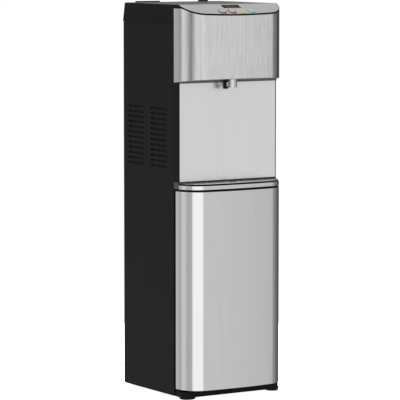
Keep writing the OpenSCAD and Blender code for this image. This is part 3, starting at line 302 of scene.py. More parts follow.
mouldedLooks = {
    "panelPaint": {"dark": grey(0.0075), "light": grey(0.0093), "grain": 2600.0, "bump": 0.2,
                   "rough": 0.6, "gloss": 0.07},
    # the vanes' black paint, lightened to lift the shade behind the slots: painted light
    "litVanePaint": {"dark": grey(0.0130), "light": grey(0.0155), "grain": 2600.0, "bump": 0.2,
                  "rough": 0.6, "gloss": 0.07},
    "mouldedBlack": {"dark": grey(0.004), "light": grey(0.006), "grain": 3800.0, "bump": 0.25,
                     "rough": 0.5, "gloss": 0.08},
    "capBlack": {"dark": grey(0.0055), "light": grey(0.0075), "grain": 4200.0, "bump": 0.15,
                 "rough": 0.55, "gloss": 0.06},
    "capTop": {"dark": grey(0.010), "light": grey(0.013), "grain": 4200.0, "bump": 0.1,
               "rough": 0.36, "gloss": 0.5},
    "fasciaFloorGrey": {"dark": grey(0.10), "light": grey(0.12), "grain": 3000.0, "bump": 0.2,
                        "rough": 0.5, "gloss": 0.3},
    "darkGrey": {"dark": grey(0.035), "light": grey(0.045), "grain": 3000.0, "bump": 0.3,
                 "rough": 0.48, "gloss": 0.4},
    "silverPanel": {"dark": grey(0.305, 0.006), "light": grey(0.335, 0.006), "grain": 5200.0,
                    "bump": 0.15, "rough": 0.42, "gloss": 0.4, "metal": 0.2, "cloud": 30.0},
    "silverCap": {"dark": grey(0.34, 0.006), "light": grey(0.38, 0.006), "grain": 5200.0,
                  "bump": 0.1, "rough": 0.3, "metal": 0.2, "cloud": 60.0},
    "crimsonRing": {"dark": (0.20, 0.0005, 0.012), "light": (0.26, 0.001, 0.02), "grain": 5000.0,
                    "bump": 0.1, "rough": 0.5, "gloss": 0.1},
    "limeRing": {"dark": (0.42, 0.48, 0.001), "light": (0.50, 0.55, 0.004), "grain": 5000.0,
                 "bump": 0.1, "rough": 0.5, "gloss": 0.1},
    "tealRing": {"dark": (0.01, 0.34, 0.33), "light": (0.02, 0.42, 0.40), "grain": 5000.0,
                 "bump": 0.1, "rough": 0.5, "gloss": 0.1},
    "lensGlass": {"dark": grey(0.003), "light": grey(0.005), "grain": 300.0, "bump": 0.02,
                  "rough": 0.15, "roughSpan": 0.02, "gloss": 0.02},
    "faintSegment": {"dark": (0.09, 0.10, 0.095), "light": (0.13, 0.14, 0.135), "grain": 900.0,
                     "bump": 0.02, "rough": 0.4},
    "boardGreen": {"dark": (0.01, 0.07, 0.025), "light": (0.02, 0.11, 0.04), "grain": 700.0,
                   "bump": 0.3, "rough": 0.4, "cloud": 260.0},
    "whitePlastic": {"dark": grey(0.66), "light": grey(0.74), "grain": 2400.0, "bump": 0.12,
                     "rough": 0.38},
    "tubeWhite": {"dark": (0.58, 0.60, 0.60), "light": (0.68, 0.70, 0.70), "grain": 900.0,
                  "bump": 0.05, "rough": 0.28, "cloud": 40.0},
    "zincSheet": {"dark": grey(0.42, 0.01), "light": grey(0.60, 0.01), "grain": 260.0, "bump": 0.1,
                  "rough": 0.42, "roughSpan": 0.1, "metal": 1.0, "cloud": 85.0},
    "foamBlock": {"dark": (0.62, 0.61, 0.57), "light": (0.76, 0.75, 0.70), "grain": 320.0,
                  "bump": 0.8, "rough": 0.9, "depth": 0.001, "cloud": 240.0, "gloss": 0.2},
    "foilJacket": {"dark": grey(0.45), "light": grey(0.66), "grain": 120.0, "bump": 0.7,
                   "rough": 0.35, "depth": 0.0015, "metal": 0.8, "cloud": 70.0},
    "copperTube": {"dark": (0.32, 0.115, 0.055), "light": (0.60, 0.27, 0.15), "grain": 900.0,
                   "bump": 0.08, "rough": 0.3, "roughSpan": 0.08, "metal": 1.0, "cloud": 60.0},
    "rubber": {"dark": grey(0.005), "light": grey(0.009), "grain": 1800.0, "bump": 0.5,
               "rough": 0.75, "gloss": 0.15},
    "coilPaint": {"dark": grey(0.022), "light": grey(0.032), "grain": 1400.0, "bump": 0.4,
                  "rough": 0.5, "gloss": 0.35},
    "rockerRed": {"dark": (0.30, 0.006, 0.006), "light": (0.38, 0.01, 0.01), "grain": 3000.0,
                  "bump": 0.1, "rough": 0.35},
    "rockerGreen": {"dark": (0.01, 0.16, 0.05), "light": (0.014, 0.21, 0.07), "grain": 3000.0,
                    "bump": 0.1, "rough": 0.35},
    "blueBody": {"dark": (0.03, 0.07, 0.24), "light": (0.04, 0.09, 0.30), "grain": 2600.0,
                 "bump": 0.15, "rough": 0.4},
    "mirrorSteel": {"dark": grey(0.66), "light": grey(0.74), "grain": 900.0, "bump": 0.03,
                    "rough": 0.30, "roughSpan": 0.02, "metal": 1.0, "cloud": 45.0},
    "tankSteel": {"dark": grey(0.5), "light": grey(0.6), "grain": 700.0, "bump": 0.1, "rough": 0.3,
                  "metal": 1.0},
    "floorPaper": {"dark": grey(0.82), "light": grey(0.84), "grain": 300.0, "bump": 0.02,
                   "rough": 0.9, "gloss": 0.0},
}
steelLooks = {
    "doorSteel": {"dark": grey(0.755), "light": grey(0.805), "lines": (1, 1, 0.006), "fine": 1400.0,
                  "broad": 260.0, "wave": 120.0, "waveLines": (1, 1, 0.03), "waveShare": 0.3,
                  "rough": 0.13, "roughSpan": 0.012, "bump": 0.03},
    "fasciaSteel": {"dark": grey(0.76), "light": grey(0.94), "lines": (1, 1, 0.01), "fine": 1400.0,
                    "broad": 260.0, "wave": 190.0, "waveLines": (1, 1, 0.09), "waveShare": 0.75,
                    "rough": 0.19, "roughSpan": 0.03, "bump": 0.05,
                    # mm from the middle and tone: painted reflection, darker bands where the bent
                    # corners of the sheet reflect the darker walls of the room
                    "paintedReflectionTone": [(0.0, 1.0), (106.2, 1.0), (109.7, 0.62), (124.7, 0.66), (128.7, 0.44),
                                 (134.7, 0.46), (141.7, 1.0), (147.2, 1.0), (149.5, 0.74),
                                 (151.0, 0.74)],
                    "paintedReflectionShift": 2.3},  # mm by which the painted reflection bands lie further left
    "plateSteel": {"dark": grey(0.93), "light": grey(0.99), "lines": (1, 1, 0.006), "fine": 1200.0,
                   "broad": 220.0, "wave": 90.0, "waveLines": (1, 1, 0.02), "waveShare": 0.3,
                   "rough": 0.34, "roughSpan": 0.02, "bump": 0.05},
    "grilleSteel": {"dark": grey(0.70), "light": grey(0.80), "lines": (0.02, 1, 1), "fine": 1300.0,
                    "broad": 240.0, "wave": 100.0, "waveLines": (0.05, 1, 1), "waveShare": 0.3,
                    "rough": 0.26, "roughSpan": 0.04, "bump": 0.06},
}
finishes = {name: mouldedFinish(name, look) for name, look in mouldedLooks.items()}
finishes.update({name: brushedSteel(name, look) for name, look in steelLooks.items()})
glow = finishes["floorPaper"].node_tree.nodes["Principled BSDF"].inputs
glow["Emission Color"].default_value = (1, 1, 1, 1)
glow["Emission Strength"].default_value = studio["floorGlow"]
floor.data.materials.append(finishes["floorPaper"])

finishOf = {
    "panelPaint": ["left_side_panel", "right_side_panel", "rear_panel"],
    "mouldedBlack": ["plinth", "upper_frame", "lower_frame", "door_caps", "door_liner", "drip_tray",
                     "spout_core", "spout_bracket", "button_carrier", "switch_frames", "drain_cap"],
    "rockerRed": ["heat_rocker"],
    "rockerGreen": ["cool_rocker"],
    "capBlack": ["top_cap"],
    "fasciaFloorGrey": ["fascia_carrier"],
    "darkGrey": ["vent_cap", "tray_housing", "filter_bay", "rear_fittings", "door_magnet"],
    "silverPanel": ["control_panel"],
    "silverCap": ["button_1", "button_2", "button_3", "button_4"],
    "crimsonRing": ["red_rings"],
    "limeRing": ["green_ring"],
    "tealRing": ["teal_ring"],
    "lensGlass": ["display_lens"],
    "boardGreen": ["control_board"],
    "whitePlastic": ["filter_head", "filter_1", "filter_2", "spout_block"],
    "tubeWhite": ["water_lines"],
    "zincSheet": ["strike_plate", "hinge_pins", "shelves", "power_box"],
    "foamBlock": ["tank_foam"],
    "foilJacket": ["hot_jacket"],
    "copperTube": ["evaporator_coil", "cooling_lines"],
    "rubber": ["feet", "compressor_mounts", "drain_seal"],
    "coilPaint": ["condenser", "compressor"],
    "blueBody": ["water_valves"],
    "mirrorSteel": ["spout"],
    "tankSteel": ["cold_tank", "hot_tank"],
    "doorSteel": ["door_skin", "tray_band"],
    "fasciaSteel": ["fascia_skin"],
    "plateSteel": ["alcove_plate"],
    "grilleSteel": ["drip_grille"],
}
nodeFinish = {node: finish for finish, members in finishOf.items() for node in members}
for node, finish in nodeFinish.items():
    mesh = nodes[node].data
    mesh.materials.clear()
    mesh.materials.append(finishes[finish])
print("finishes ready:", len(finishes))


# helpers for the pieces
def addDetail(name, mesh, beside, smoothUnder=20):  # rides with the node beside it
    piece = bpy.data.objects.new(name, mesh)
    scene.collection.objects.link(piece)
    mesh.shade_smooth()
    mesh.set_sharp_from_angle(angle=math.radians(smoothUnder))
    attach(piece, nodes[beside]["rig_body"])
    return piece


def addPiece(name, mesh, standsFor, finish, smoothUnder=20):
    mesh.materials.clear()
    mesh.materials.append(finishes[finish])
    piece = addDetail(name, mesh, standsFor, smoothUnder)
    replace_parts(piece, standsFor)
    return piece


def roundEdges(piece, width, rounds=2, above=34):
    bevel = piece.modifiers.new("edges", "BEVEL")
    bevel.width = width
    bevel.segments = rounds
    bevel.limit_method = "ANGLE"
    bevel.angle_limit = math.radians(above)
    bevel.harden_normals = True
    bevel.miter_outer = "MITER_ARC"
    return piece


joining = {"within": 0.000002, "flatWithin": 0.3}  # m, degrees


def wholeMesh(node, joinFlats):
    mesh = nodes[node].data.copy()
    bm = bmesh.new()
    bm.from_mesh(mesh)
    bmesh.ops.remove_doubles(bm, verts=bm.verts, dist=joining["within"])
    if joinFlats:  # the triangles of a flat face become one, so that its edges can be rounded
        bmesh.ops.dissolve_limit(bm, angle_limit=math.radians(joining["flatWithin"]), verts=bm.verts,
                                 edges=bm.edges)
    bm.to_mesh(mesh)
    bm.free()
    return mesh


def meshOf(bm, name):
    bmesh.ops.recalc_face_normals(bm, faces=bm.faces)
    mesh = bpy.data.meshes.new(name)
    bm.to_mesh(mesh)
    bm.free()
    return mesh


# mouldings whose edges are rounded
softened = {  # node: (piece, width of the rounded edge in mm, rounds)
    "plinth": ("plinthMoulding", 0.8, 2),
    "top_cap": ("capMoulding", 0.8, 2),
    "upper_frame": ("alcoveFrame", 0.6, 2),
    "alcove_plate": ("alcoveSheet", 0.2, 1),
    "lower_frame": ("bayFrame", 0.6, 2),
    "fascia_carrier": ("fasciaFloor", 0.5, 2),
    "button_1": ("buttonOne", 0.25, 2),
    "button_2": ("buttonTwo", 0.25, 2),
    "button_3": ("buttonThree", 0.25, 2),
    "button_4": ("buttonFour", 0.25, 2),
    "spout": ("spoutSleeve", 0.3, 2),
    "spout_core": ("spoutCore", 0.2, 2),
    "spout_bracket": ("spoutBracket", 0.8, 2),
    "tray_housing": ("trayHousing", 0.6, 2),
    "drip_tray": ("trayBasin", 0.4, 2),
    "door_caps": ("doorEnds", 0.3, 2),
    "door_liner": ("doorLiner", 0.4, 2),
    "filter_bay": ("bayTub", 0.6, 2),
    "filter_head": ("filterHead", 0.5, 2),
    "filter_1": ("cartridgeOne", 0.6, 2),
    "filter_2": ("cartridgeTwo", 0.6, 2),
    "power_box": ("powerBox", 0.3, 2),
    "switch_frames": ("switchFrames", 0.4, 2),
    "heat_rocker": ("heatRocker", 0.4, 2),
    "cool_rocker": ("coolRocker", 0.4, 2),
}
pierced = ("lower_frame", "plinth")  # their flat faces have openings, so the triangles stay

# the copies that follow the photograph beyond their solids, in mm and as shares of a width
plateShape = {"width": 0.991, "lowEdge": 574.8, "lowPart": 580.0}  # reaches down to the tray
skirtShape = {"width": 1.015, "frontPart": -89.0, "lowEdge": 6.5, "lowPart": 12.5}  # a deeper skirt
feetShape = {"rightOut": 15.0, "rightEnd": 149.0, "leftWidth": 1.12, "leftIn": 16.0}


def shapePlate(x, y, z):
    return x * plateShape["width"], y, plateShape["lowEdge"] if z < plateShape["lowPart"] else z


def shapePlinth(x, y, z):
    width = skirtShape["width"] if y < skirtShape["frontPart"] else 1.0
    return x * width, y, skirtShape["lowEdge"] if z < skirtShape["lowPart"] else z


def shapeFeet(x, y, z):
    if y > 0:  # the rear feet stay
        return x, y, z
    if x > 0:
        return min(x + feetShape["rightOut"], feetShape["rightEnd"]), y, z
    return x * feetShape["leftWidth"] + feetShape["leftIn"], y, z


# the sloping panel starts at its crest and falls towards the front
panelSlope = {"crestY": -110.0, "topZ": 1037.0, "fall": 22.5}  # mm and degrees
# the coloured rings get a flange over the panel, wider on the lower half and raised at the button
ringFlare = {"middles": (-45, -15, 15, 45), "down": 46.5, "topFrom": 0.05, "flangeFrom": 9.8,
             "below": 2.4, "above": 0.2, "lift": 0.6}  # mm


def slopeParts():
    return math.sin(math.radians(panelSlope["fall"])), math.cos(math.radians(panelSlope["fall"]))


def ontoPanel(x, up, out):  # from places along the slope and off it to the frame
    s, c = slopeParts()
    return x, panelSlope["crestY"] + up * c - out * s, panelSlope["topZ"] + up * s + out * c


def flareRing(x, y, z):
    s, c = slopeParts()
    y, z = y - panelSlope["crestY"], z - panelSlope["topZ"]
    up, out = y * c + z * s + ringFlare["down"], z * c - y * s
    middle = min(ringFlare["middles"], key=lambda m: abs(m - x))
    reach = math.hypot(x - middle, up)
    if out > ringFlare["topFrom"] and reach > ringFlare["flangeFrom"]:
        lower = max(-up / reach, 0)
        grow = 1 + (ringFlare["above"] + (ringFlare["below"] - ringFlare["above"]) * lower) / reach
        x, up = middle + (x - middle) * grow, up * grow
    elif out > ringFlare["topFrom"]:
        out += ringFlare["lift"]
    return ontoPanel(x, up - ringFlare["down"], out)


reshaped = {  # node: how one point of its copy moves
    "alcove_plate": shapePlate,
    "plinth": shapePlinth,
    "feet": shapeFeet,
    "red_rings": flareRing,
    "green_ring": flareRing,
    "teal_ring": flareRing,
}


def reshape(mesh, move):
    for vert in mesh.vertices:
        vert.co = Vector(move(*(vert.co / mm))) * mm


for node, (pieceName, width, rounds) in softened.items():
    mesh = wholeMesh(node, node not in pierced)
    if node in reshaped:
        reshape(mesh, reshaped[node])
    roundEdges(addPiece(pieceName, mesh, node, nodeFinish[node]), width * mm, rounds)
print("rounded mouldings:", len(softened))

secondFinish = {"level": 0.9, "lipAbove": 567.0, "lipWithin": 148.0}  # upward part of a normal, mm


def paintFaces(pieceName, finish, chosen):
    mesh = bpy.data.objects[pieceName].data
    mesh.materials.append(finishes[finish])
    for face in mesh.polygons:
        if chosen(face):
            face.material_index = 1


def isLevelTop(face):  # glossier than the textured sides of the cap
    return face.normal.z > secondFinish["level"]


def isShadeLineLip(face):  # the rear lip over the tray, in the darker black: black moulding and a painted shadow line under the alcove
    x, _, z = face.center / mm
    return z > secondFinish["lipAbove"] and abs(x) < secondFinish["lipWithin"]


paintFaces("capMoulding", "capTop", isLevelTop)
# painted shade: the rear lip gets the darker black, for the shadow line between the plate and the grille
paintFaces("trayHousing", "mouldedBlack", isShadeLineLip)

# turned parts, tubes and plates that keep their edges but shade smoothly
smoothed = {
    "rear_panel": "rearSheet",
    "control_panel": "panelPlate",
    "display_lens": "displayGlass",
    "red_rings": "crimsonRings",
    "green_ring": "limeRing",
    "teal_ring": "tealRing",
    "vent_cap": "ventStub",
    "feet": "levellingFeet",
    "hinge_pins": "hingePins",
    "water_lines": "waterTubes",
    "cooling_lines": "coolingTubes",
    "evaporator_coil": "evaporatorTube",
    "cold_tank": "coldTank",
    "hot_tank": "hotTank",
    "hot_jacket": "hotJacket",
    "tank_foam": "tankFoam",
    "compressor": "compressorShell",
    "compressor_mounts": "compressorFeet",
    "rear_fittings": "rearFittings",
    "drain_cap": "drainCap",
    "drain_seal": "drainSeal",
    "water_valves": "waterValves",
}
for node, pieceName in smoothed.items():
    mesh = wholeMesh(node, False)
    if node in reshaped:
        reshape(mesh, reshaped[node])
    addPiece(pieceName, mesh, node, nodeFinish[node])
print("smoothed parts:", len(smoothed))


# steel wraps that follow the plan of the front
plan = {  # mm, the plan that the door, the tray band and the fascia share
    "halfWidth": 153.0,
    "cornerRadius": 57.0,
    "cornerX": 96.0,
    "cornerY": -108.0229,
    "cornerEnd": 5.938,  # degrees, where the corner runs into the bow
    "bowRadius": 985.0,
    "bowY": 815.0,
    "cornerSteps": 56,
    "bowSteps": 28,
}


def planOf(inset, back):
    r = plan["cornerRadius"] - inset
    bow = plan["bowRadius"] - inset
    end = plan["cornerEnd"]
    # the side runs straight from the rear edge to the corner, unless the rear edge cuts the corner
    start = math.degrees(math.asin(min(back - plan["cornerY"], 0) / r))
    side = [(plan["halfWidth"] - inset, back)] if start == 0 else []
    for k in range(plan["cornerSteps"] + 1):
        a = math.radians(start + k / plan["cornerSteps"] * (end - 90 - start))
        side.append((plan["cornerX"] + r * math.cos(a), plan["cornerY"] + r * math.sin(a)))
    front = []
    for k in range(1, plan["bowSteps"]):
        a = math.radians(end - 90 - 2 * end * k / plan["bowSteps"])
        front.append((bow * math.cos(a), plan["bowY"] + bow * math.sin(a)))
    return side + front + [(-x, y) for x, y in reversed(side)]


def addWall(bm, outer, inner, lowAt, highAt):
    rows = []
    for line, heightAt in ((outer, lowAt), (outer, highAt), (inner, highAt), (inner, lowAt)):
        heights = [heightAt(y) for _, y in outer]
        rows.append([bm.verts.new((x * mm, y * mm, z * mm)) for (x, y), z in zip(line, heights)])
    for a, b in zip(rows, rows[1:] + rows[:1]):
        for k in range(len(a) - 1):
            bm.faces.new((a[k], b[k], b[k + 1], a[k + 1]))
    for k in (0, -1):
        bm.faces.new([row[k] for row in rows])


def frontWrap(name, node, finish, inset, thickness, back, lowAt, highAt, edge):
    bm = bmesh.new()
    addWall(bm, planOf(inset, back), planOf(inset + thickness, back), lowAt, highAt)
    roundEdges(addPiece(name, meshOf(bm, name), node, finish), edge * mm)


fasciaCut = {  # mm and degrees: the slopes that trim the fascia's sheet, and the gap up to the rim
    "lowAtSides": 833.5, "lowSlope": 7.2, "frontY": -88.0, "trim": 4.0, "flankTop": 1027.0,
    "rimGap": 0.2,
}


def levelEdge(height):
    return lambda y: height


def panelAt(y):  # height of the sloping panel
    return panelSlope["topZ"] - (panelSlope["crestY"] - y) * math.tan(math.radians(panelSlope["fall"]))


def fasciaLow(y):
    slope = math.tan(math.radians(fasciaCut["lowSlope"]))
    return fasciaCut["lowAtSides"] + (fasciaCut["frontY"] - y) * slope


def fasciaHigh(y):
    return min(fasciaCut["flankTop"], panelAt(y) - fasciaCut["trim"])


def rimLow(y):
    return fasciaHigh(y) + fasciaCut["rimGap"]


def rimHigh(y):
    return min(panelAt(y), panelSlope["topZ"]) + fasciaCut["rimGap"]


wraps = [  # piece, node, finish, then in mm: inset, thickness, rear edge, low, high and edge width
    ("doorSheet", "door_skin", "doorSteel", 0, 0.8, -97.0, levelEdge(27.0), levelEdge(550.0), 0.3),
    ("trayBand", "tray_band", "doorSteel", 0, 1.0, -111.9, levelEdge(556.0), levelEdge(566.0), 0.3),
    ("fasciaSheet", "fascia_skin", "fasciaSteel", 0, 0.8, -88.3, fasciaLow, fasciaHigh, 0.3),
    # black rim between the control panel and the fascia
    ("capRim", "top_cap", "capBlack", 0, 1.3, -109.0, rimLow, rimHigh, 0.2),
    # black lip of the tray's housing, in the gap between the tray band and the door
    ("housingLip", "tray_housing", "mouldedBlack", 1.0, 1.5, -100.0, levelEdge(550.6), levelEdge(555.6),
     0.3),
]
for wrap in wraps:
    frontWrap(*wrap)
print("steel wraps, black rim and lip:", len(wraps))

# folded side sheets with their slots
sideSheet = {  # mm
    "thickness": 1.0,
    "frontFlange": 12.0,
    "rearFlange": 10.0,
    "innerFlange": 12.0,
    "recess": 20.0,  # from the rear edge forward to the inner flange
    "slotRows": 12,
    "slotPitch": 13.8,
    "slotFirst": 601.0,  # above the sheet's lower edge
    "slotHeight": 5.5,
    "slotLength": 78.0,
    "slotColumns": (37.0, 152.0),  # from the sheet's front edge
    "foldRadius": 0.5,
}


def sideOf(node):
    low, high = [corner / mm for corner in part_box(node)]
    side = -1 if low.x < 0 else 1
    return low, high, side, low.x if side < 0 else high.x


def sideSheetMesh(name, node, look):
    low, high, side, outside = sideOf(node)
    half = look["thickness"] / 2
    deep = high.y - low.y
    inner = look["rearFlange"] - half
    turnBack = deep - look["recess"] - half
    slotEnds = sorted(y for c in look["slotColumns"] for y in (c, c + look["slotLength"]))
    line = [(look["frontFlange"], half), (half, half)] + [(half, y) for y in slotEnds] + [
        (half, deep - half), (inner, deep - half), (inner, turnBack),
        (inner + half + look["innerFlange"], turnBack)]
    rows = [look["slotFirst"] + k * look["slotPitch"] for k in range(look["slotRows"])]
    levels = [0.0] + [z for r in rows for z in (r, r + look["slotHeight"])] + [high.z - low.z]
    bm = bmesh.new()
    grid = []
    for x, y in line:
        foot = (outside - side * x) * mm, (low.y + y) * mm
        grid.append([bm.verts.new((*foot, (low.z + z) * mm)) for z in levels])
    holes = (2, 4)  # the second and fourth lengths of the side lie at the slots
    for i in range(len(grid) - 1):
        for k in range(len(levels) - 1):
            if i in holes and k % 2 == 1:
                continue
            bm.faces.new((grid[i][k], grid[i + 1][k], grid[i + 1][k + 1], grid[i][k + 1]))
    return meshOf(bm, name)


def addSideSheet(name, node, look):
    piece = addPiece(name, sideSheetMesh(name, node, look), node, nodeFinish[node])
    wall = piece.modifiers.new("wall", "SOLIDIFY")
    wall.thickness = look["thickness"] * mm
    wall.offset = 0.0
    wall.use_even_offset = True
    wall.use_quality_normals = True
    return roundEdges(piece, look["foldRadius"] * mm)


for name, node in (("leftSheet", "left_side_panel"), ("rightSheet", "right_side_panel")):
    addSideSheet(name, node, sideSheet)
print("side sheets folded")


# geometry nodes
def startTree(name, sizes):
    tree = bpy.data.node_groups.new(name, "GeometryNodeTree")
    tree.interface.new_socket("Geometry", in_out="INPUT", socket_type="NodeSocketGeometry")
    tree.interface.new_socket("Geometry", in_out="OUTPUT", socket_type="NodeSocketGeometry")
    for label, value in sizes.items():
        kind = "NodeSocketInt" if isinstance(value, int) else "NodeSocketFloat"
        tree.interface.new_socket(label, in_out="INPUT", socket_type=kind).default_value = value
    return tree, tree.nodes.new("NodeGroupInput").outputs


def endTree(tree, shape, finish):
    real = addNode(tree, "GeometryNodeRealizeInstances", values={"Geometry": shape})
    painted = addNode(tree, "GeometryNodeSetMaterial", values={
        "Geometry": real.outputs[0], "Material": finishes[finish]})
    tree.links.new(painted.outputs[0], tree.nodes.new("NodeGroupOutput").inputs[0])


def growMesh(name, tree, sizes, base):
    holder = bpy.data.objects.new(name, base)
    scene.collection.objects.link(holder)
    grow = holder.modifiers.new("grow", "NODES")
    grow.node_group = tree
    for item in tree.interface.items_tree:
        if item.in_out == "INPUT" and item.name in sizes:
            value = sizes[item.name]
            grow[item.identifier] = value if isinstance(value, int) else value * mm
    view = bpy.context.evaluated_depsgraph_get()
    mesh = bpy.data.meshes.new_from_object(holder.evaluated_get(view))
    mesh.name = name
    holder.modifiers.remove(grow)
    bpy.data.objects.remove(holder)
    return mesh


def spotsMesh(name, spots):
    mesh = bpy.data.meshes.new(name)
    mesh.from_pydata([[c * mm for c in place] for place, _ in spots], [], [])
    facing = mesh.attributes.new("facing", "FLOAT_VECTOR", "POINT")
    for row, (_, way) in zip(facing.data, spots):
        row.vector = way
    return mesh


def attributeOf(tree, kind, name):
    return addNode(tree, "GeometryNodeInputNamedAttribute", {"data_type": kind}, {
        "Name": name}).outputs[0]


def pointParts(tree):  # x, y and z of a point
    place = addNode(tree, "GeometryNodeInputPosition")
    return addNode(tree, "ShaderNodeSeparateXYZ", values={0: place.outputs[0]}).outputs


def vectorOf(tree, **parts):
    return addNode(tree, "ShaderNodeCombineXYZ", values=parts).outputs[0]


def rodOf(tree, sides, radius, length):
    return addNode(tree, "GeometryNodeMeshCylinder", {"fill_type": "NGON"}, {
        "Vertices": sides, "Radius": radius, "Depth": length}).outputs["Mesh"]


def circleOf(tree, sides, radius):
    return addNode(tree, "GeometryNodeCurvePrimitiveCircle", values={
        "Resolution": sides, "Radius": radius}).outputs["Curve"]


def sweptAlong(tree, path, section, caps=False):
    return addNode(tree, "GeometryNodeCurveToMesh", values={
        "Curve": path, "Profile Curve": section, "Fill Caps": caps}).outputs[0]


def movedTo(tree, shape, place, turned=(0, 0, 0)):
    return addNode(tree, "GeometryNodeTransform", values={
        "Geometry": shape, "Translation": place, "Rotation": turned}).outputs[0]


def pulledTo(tree, shape, places):
    return addNode(tree, "GeometryNodeSetPosition", values={
        "Geometry": shape, "Position": places}).outputs[0]


def eachOn(tree, points, shape):
    return addNode(tree, "GeometryNodeInstanceOnPoints", values={
        "Points": points, "Instance": shape}).outputs[0]


def joinedShapes(tree, shapes):
    joined = tree.nodes.new("GeometryNodeJoinGeometry")
    for shape in shapes:
        tree.links.new(shape, joined.inputs[0])
    return joined.outputs[0]


def cutShape(tree, shape, tools, **settings):
    cut = addNode(tree, "GeometryNodeMeshBoolean", {"operation": "DIFFERENCE", **settings}, {0: shape})
    for tool in tools:
        tree.links.new(tool, cut.inputs[1])
    return cut.outputs[0]


def placeOnSpots(tree, spots, shape, axis, turn=None):
    aim = addNode(tree, "FunctionNodeAlignRotationToVector", {"axis": axis}, {
        "Vector": attributeOf(tree, "FLOAT_VECTOR", "facing")})
    placed = addNode(tree, "GeometryNodeInstanceOnPoints", values={
        "Points": spots, "Instance": shape, "Rotation": aim.outputs[0]}).outputs[0]
    if turn is None:
        return placed
    return addNode(tree, "GeometryNodeRotateInstances", values={
        "Instances": placed, "Rotation": vectorOf(tree, Z=turn), "Local Space": True}).outputs[0]


# curved vanes behind the slots of the side sheets
vane = {"Length": 80.0, "Reach": 3.4, "Drop": 7.2, "Thickness": 0.7, "Steps": 8}  # mm
vanePlace = {"inside": 0.8, "above": 0.3}  # share of the sheet's thickness, mm over the slot


def vaneTree(sizes):
    tree, given = startTree("sideVanes", sizes)
    strip = addNode(tree, "GeometryNodeMeshGrid", values={
        "Size X": 1.0, "Size Y": given["Length"], "Vertices X": given["Steps"], "Vertices Y": 2})
    place = pointParts(tree)
    # the strip bends inwards and down along a quarter of an ellipse
    angle = mathNode(tree, "MULTIPLY", mathNode(tree, "ADD", place["X"], 0.5), math.pi / 2)
    inward = mathNode(tree, "MULTIPLY", mathNode(tree, "SINE", angle), given["Reach"])
    fall = mathNode(tree, "SUBTRACT", mathNode(tree, "COSINE", angle), 1.0)
    down = mathNode(tree, "MULTIPLY", fall, given["Drop"])
    curved = pulledTo(tree, strip.outputs[0], vectorOf(tree, X=inward, Y=place["Y"], Z=down))
    thick = addNode(tree, "GeometryNodeExtrudeMesh", values={
        "Mesh": curved, "Offset Scale": given["Thickness"], "Individual": False}).outputs[0]
    under = addNode(tree, "GeometryNodeFlipFaces", values={0: curved}).outputs[0]
    closed = addNode(tree, "GeometryNodeMergeByDistance", values={
        "Geometry": joinedShapes(tree, (thick, under)), "Distance": 0.01 * mm}).outputs[0]
    endTree(tree, placeOnSpots(tree, given["Geometry"], closed, "X"), "litVanePaint")
    return tree


def vaneSpots(node, sheet):
    low, _, side, outside = sideOf(node)
    x = outside - side * sheet["thickness"] * vanePlace["inside"]
    spots = []
    for column in sheet["slotColumns"]:
        for k in range(sheet["slotRows"]):
            slotTop = low.z + sheet["slotFirst"] + k * sheet["slotPitch"] + sheet["slotHeight"]
            middle = low.y + column + sheet["slotLength"] / 2
            spots.append(((x, middle, slotTop + vanePlace["above"]), (-side, 0, 0)))
    return spots


vanes = vaneTree(vane)
for name, node in (("leftVanes", "left_side_panel"), ("rightVanes", "right_side_panel")):
    mesh = growMesh(name, vanes, vane, spotsMesh(name + "Spots", vaneSpots(node, sideSheet)))
    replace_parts(addDetail(name, mesh, node), node)
print("vanes behind the side slots")

# cross-slotted screws along the sides and the top of the rear sheet
screw = {"Head Radius": 3.4, "Head Height": 1.5, "Head Floor": -0.2, "Head Sides": 20, "Head Rings": 12,
         "Slot Width": 0.9, "Slot Length": 4.0, "Slot Depth": 0.9, "Seed": 7}  # mm
screwRows = {"count": 5, "fromEnds": 12.0, "fromSides": 6.0, "fromTop": 10.0,
             "across": (-70, 0, 70)}  # mm


def screwTree(sizes):
    tree, given = startTree("screwHeads", sizes)
    ball = addNode(tree, "GeometryNodeMeshUVSphere", values={
        "Segments": given["Head Sides"], "Rings": given["Head Rings"], "Radius": 1.0})
    size = vectorOf(tree, X=given["Head Radius"], Y=given["Head Radius"], Z=given["Head Height"])
    dome = addNode(tree, "GeometryNodeTransform", values={"Geometry": ball.outputs[0], "Scale": size})
    place = pointParts(tree)
    # flat below, just inside the sheet
    seat = mathNode(tree, "MAXIMUM", place["Z"], given["Head Floor"])
    head = pulledTo(tree, dome.outputs[0], vectorOf(tree, X=place["X"], Y=place["Y"], Z=seat))
    deep = mathNode(tree, "MULTIPLY", given["Slot Depth"], 2.0)
    tools = []
    for first, second in (("Slot Width", "Slot Length"), ("Slot Length", "Slot Width")):
        bar = addNode(tree, "GeometryNodeMeshCube", values={
            "Size": vectorOf(tree, X=given[first], Y=given[second], Z=deep)})
        tools.append(movedTo(tree, bar.outputs[0], vectorOf(tree, Z=given["Head Height"])))
    turn = addNode(tree, "FunctionNodeRandomValue", {"data_type": "FLOAT"}, {
        "Seed": given["Seed"], 2: 0.0, 3: math.pi / 2})
    endTree(tree, placeOnSpots(tree, given["Geometry"], cutShape(tree, head, tools), "Z",
                               turn.outputs[1]), "zincSheet")
    return tree


def screwSpots(look):
    low, high = [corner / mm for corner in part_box("rear_panel")]
    span = high.z - low.z - 2 * look["fromEnds"]
    levels = [low.z + look["fromEnds"] + span * k / (look["count"] - 1) for k in range(look["count"])]
    places = [(side * (high.x - look["fromSides"]), z) for side in (-1, 1) for z in levels]
    places += [(x, high.z - look["fromTop"]) for x in look["across"]]
    return [((x, high.y, z), (0, 1, 0)) for x, z in places]


rearSpots = spotsMesh("rearSpots", screwSpots(screwRows))
screwMesh = growMesh("rearScrews", screwTree(screw), screw, rearSpots)
addDetail("rearScrews", screwMesh, "rear_panel")
print("rear screws")
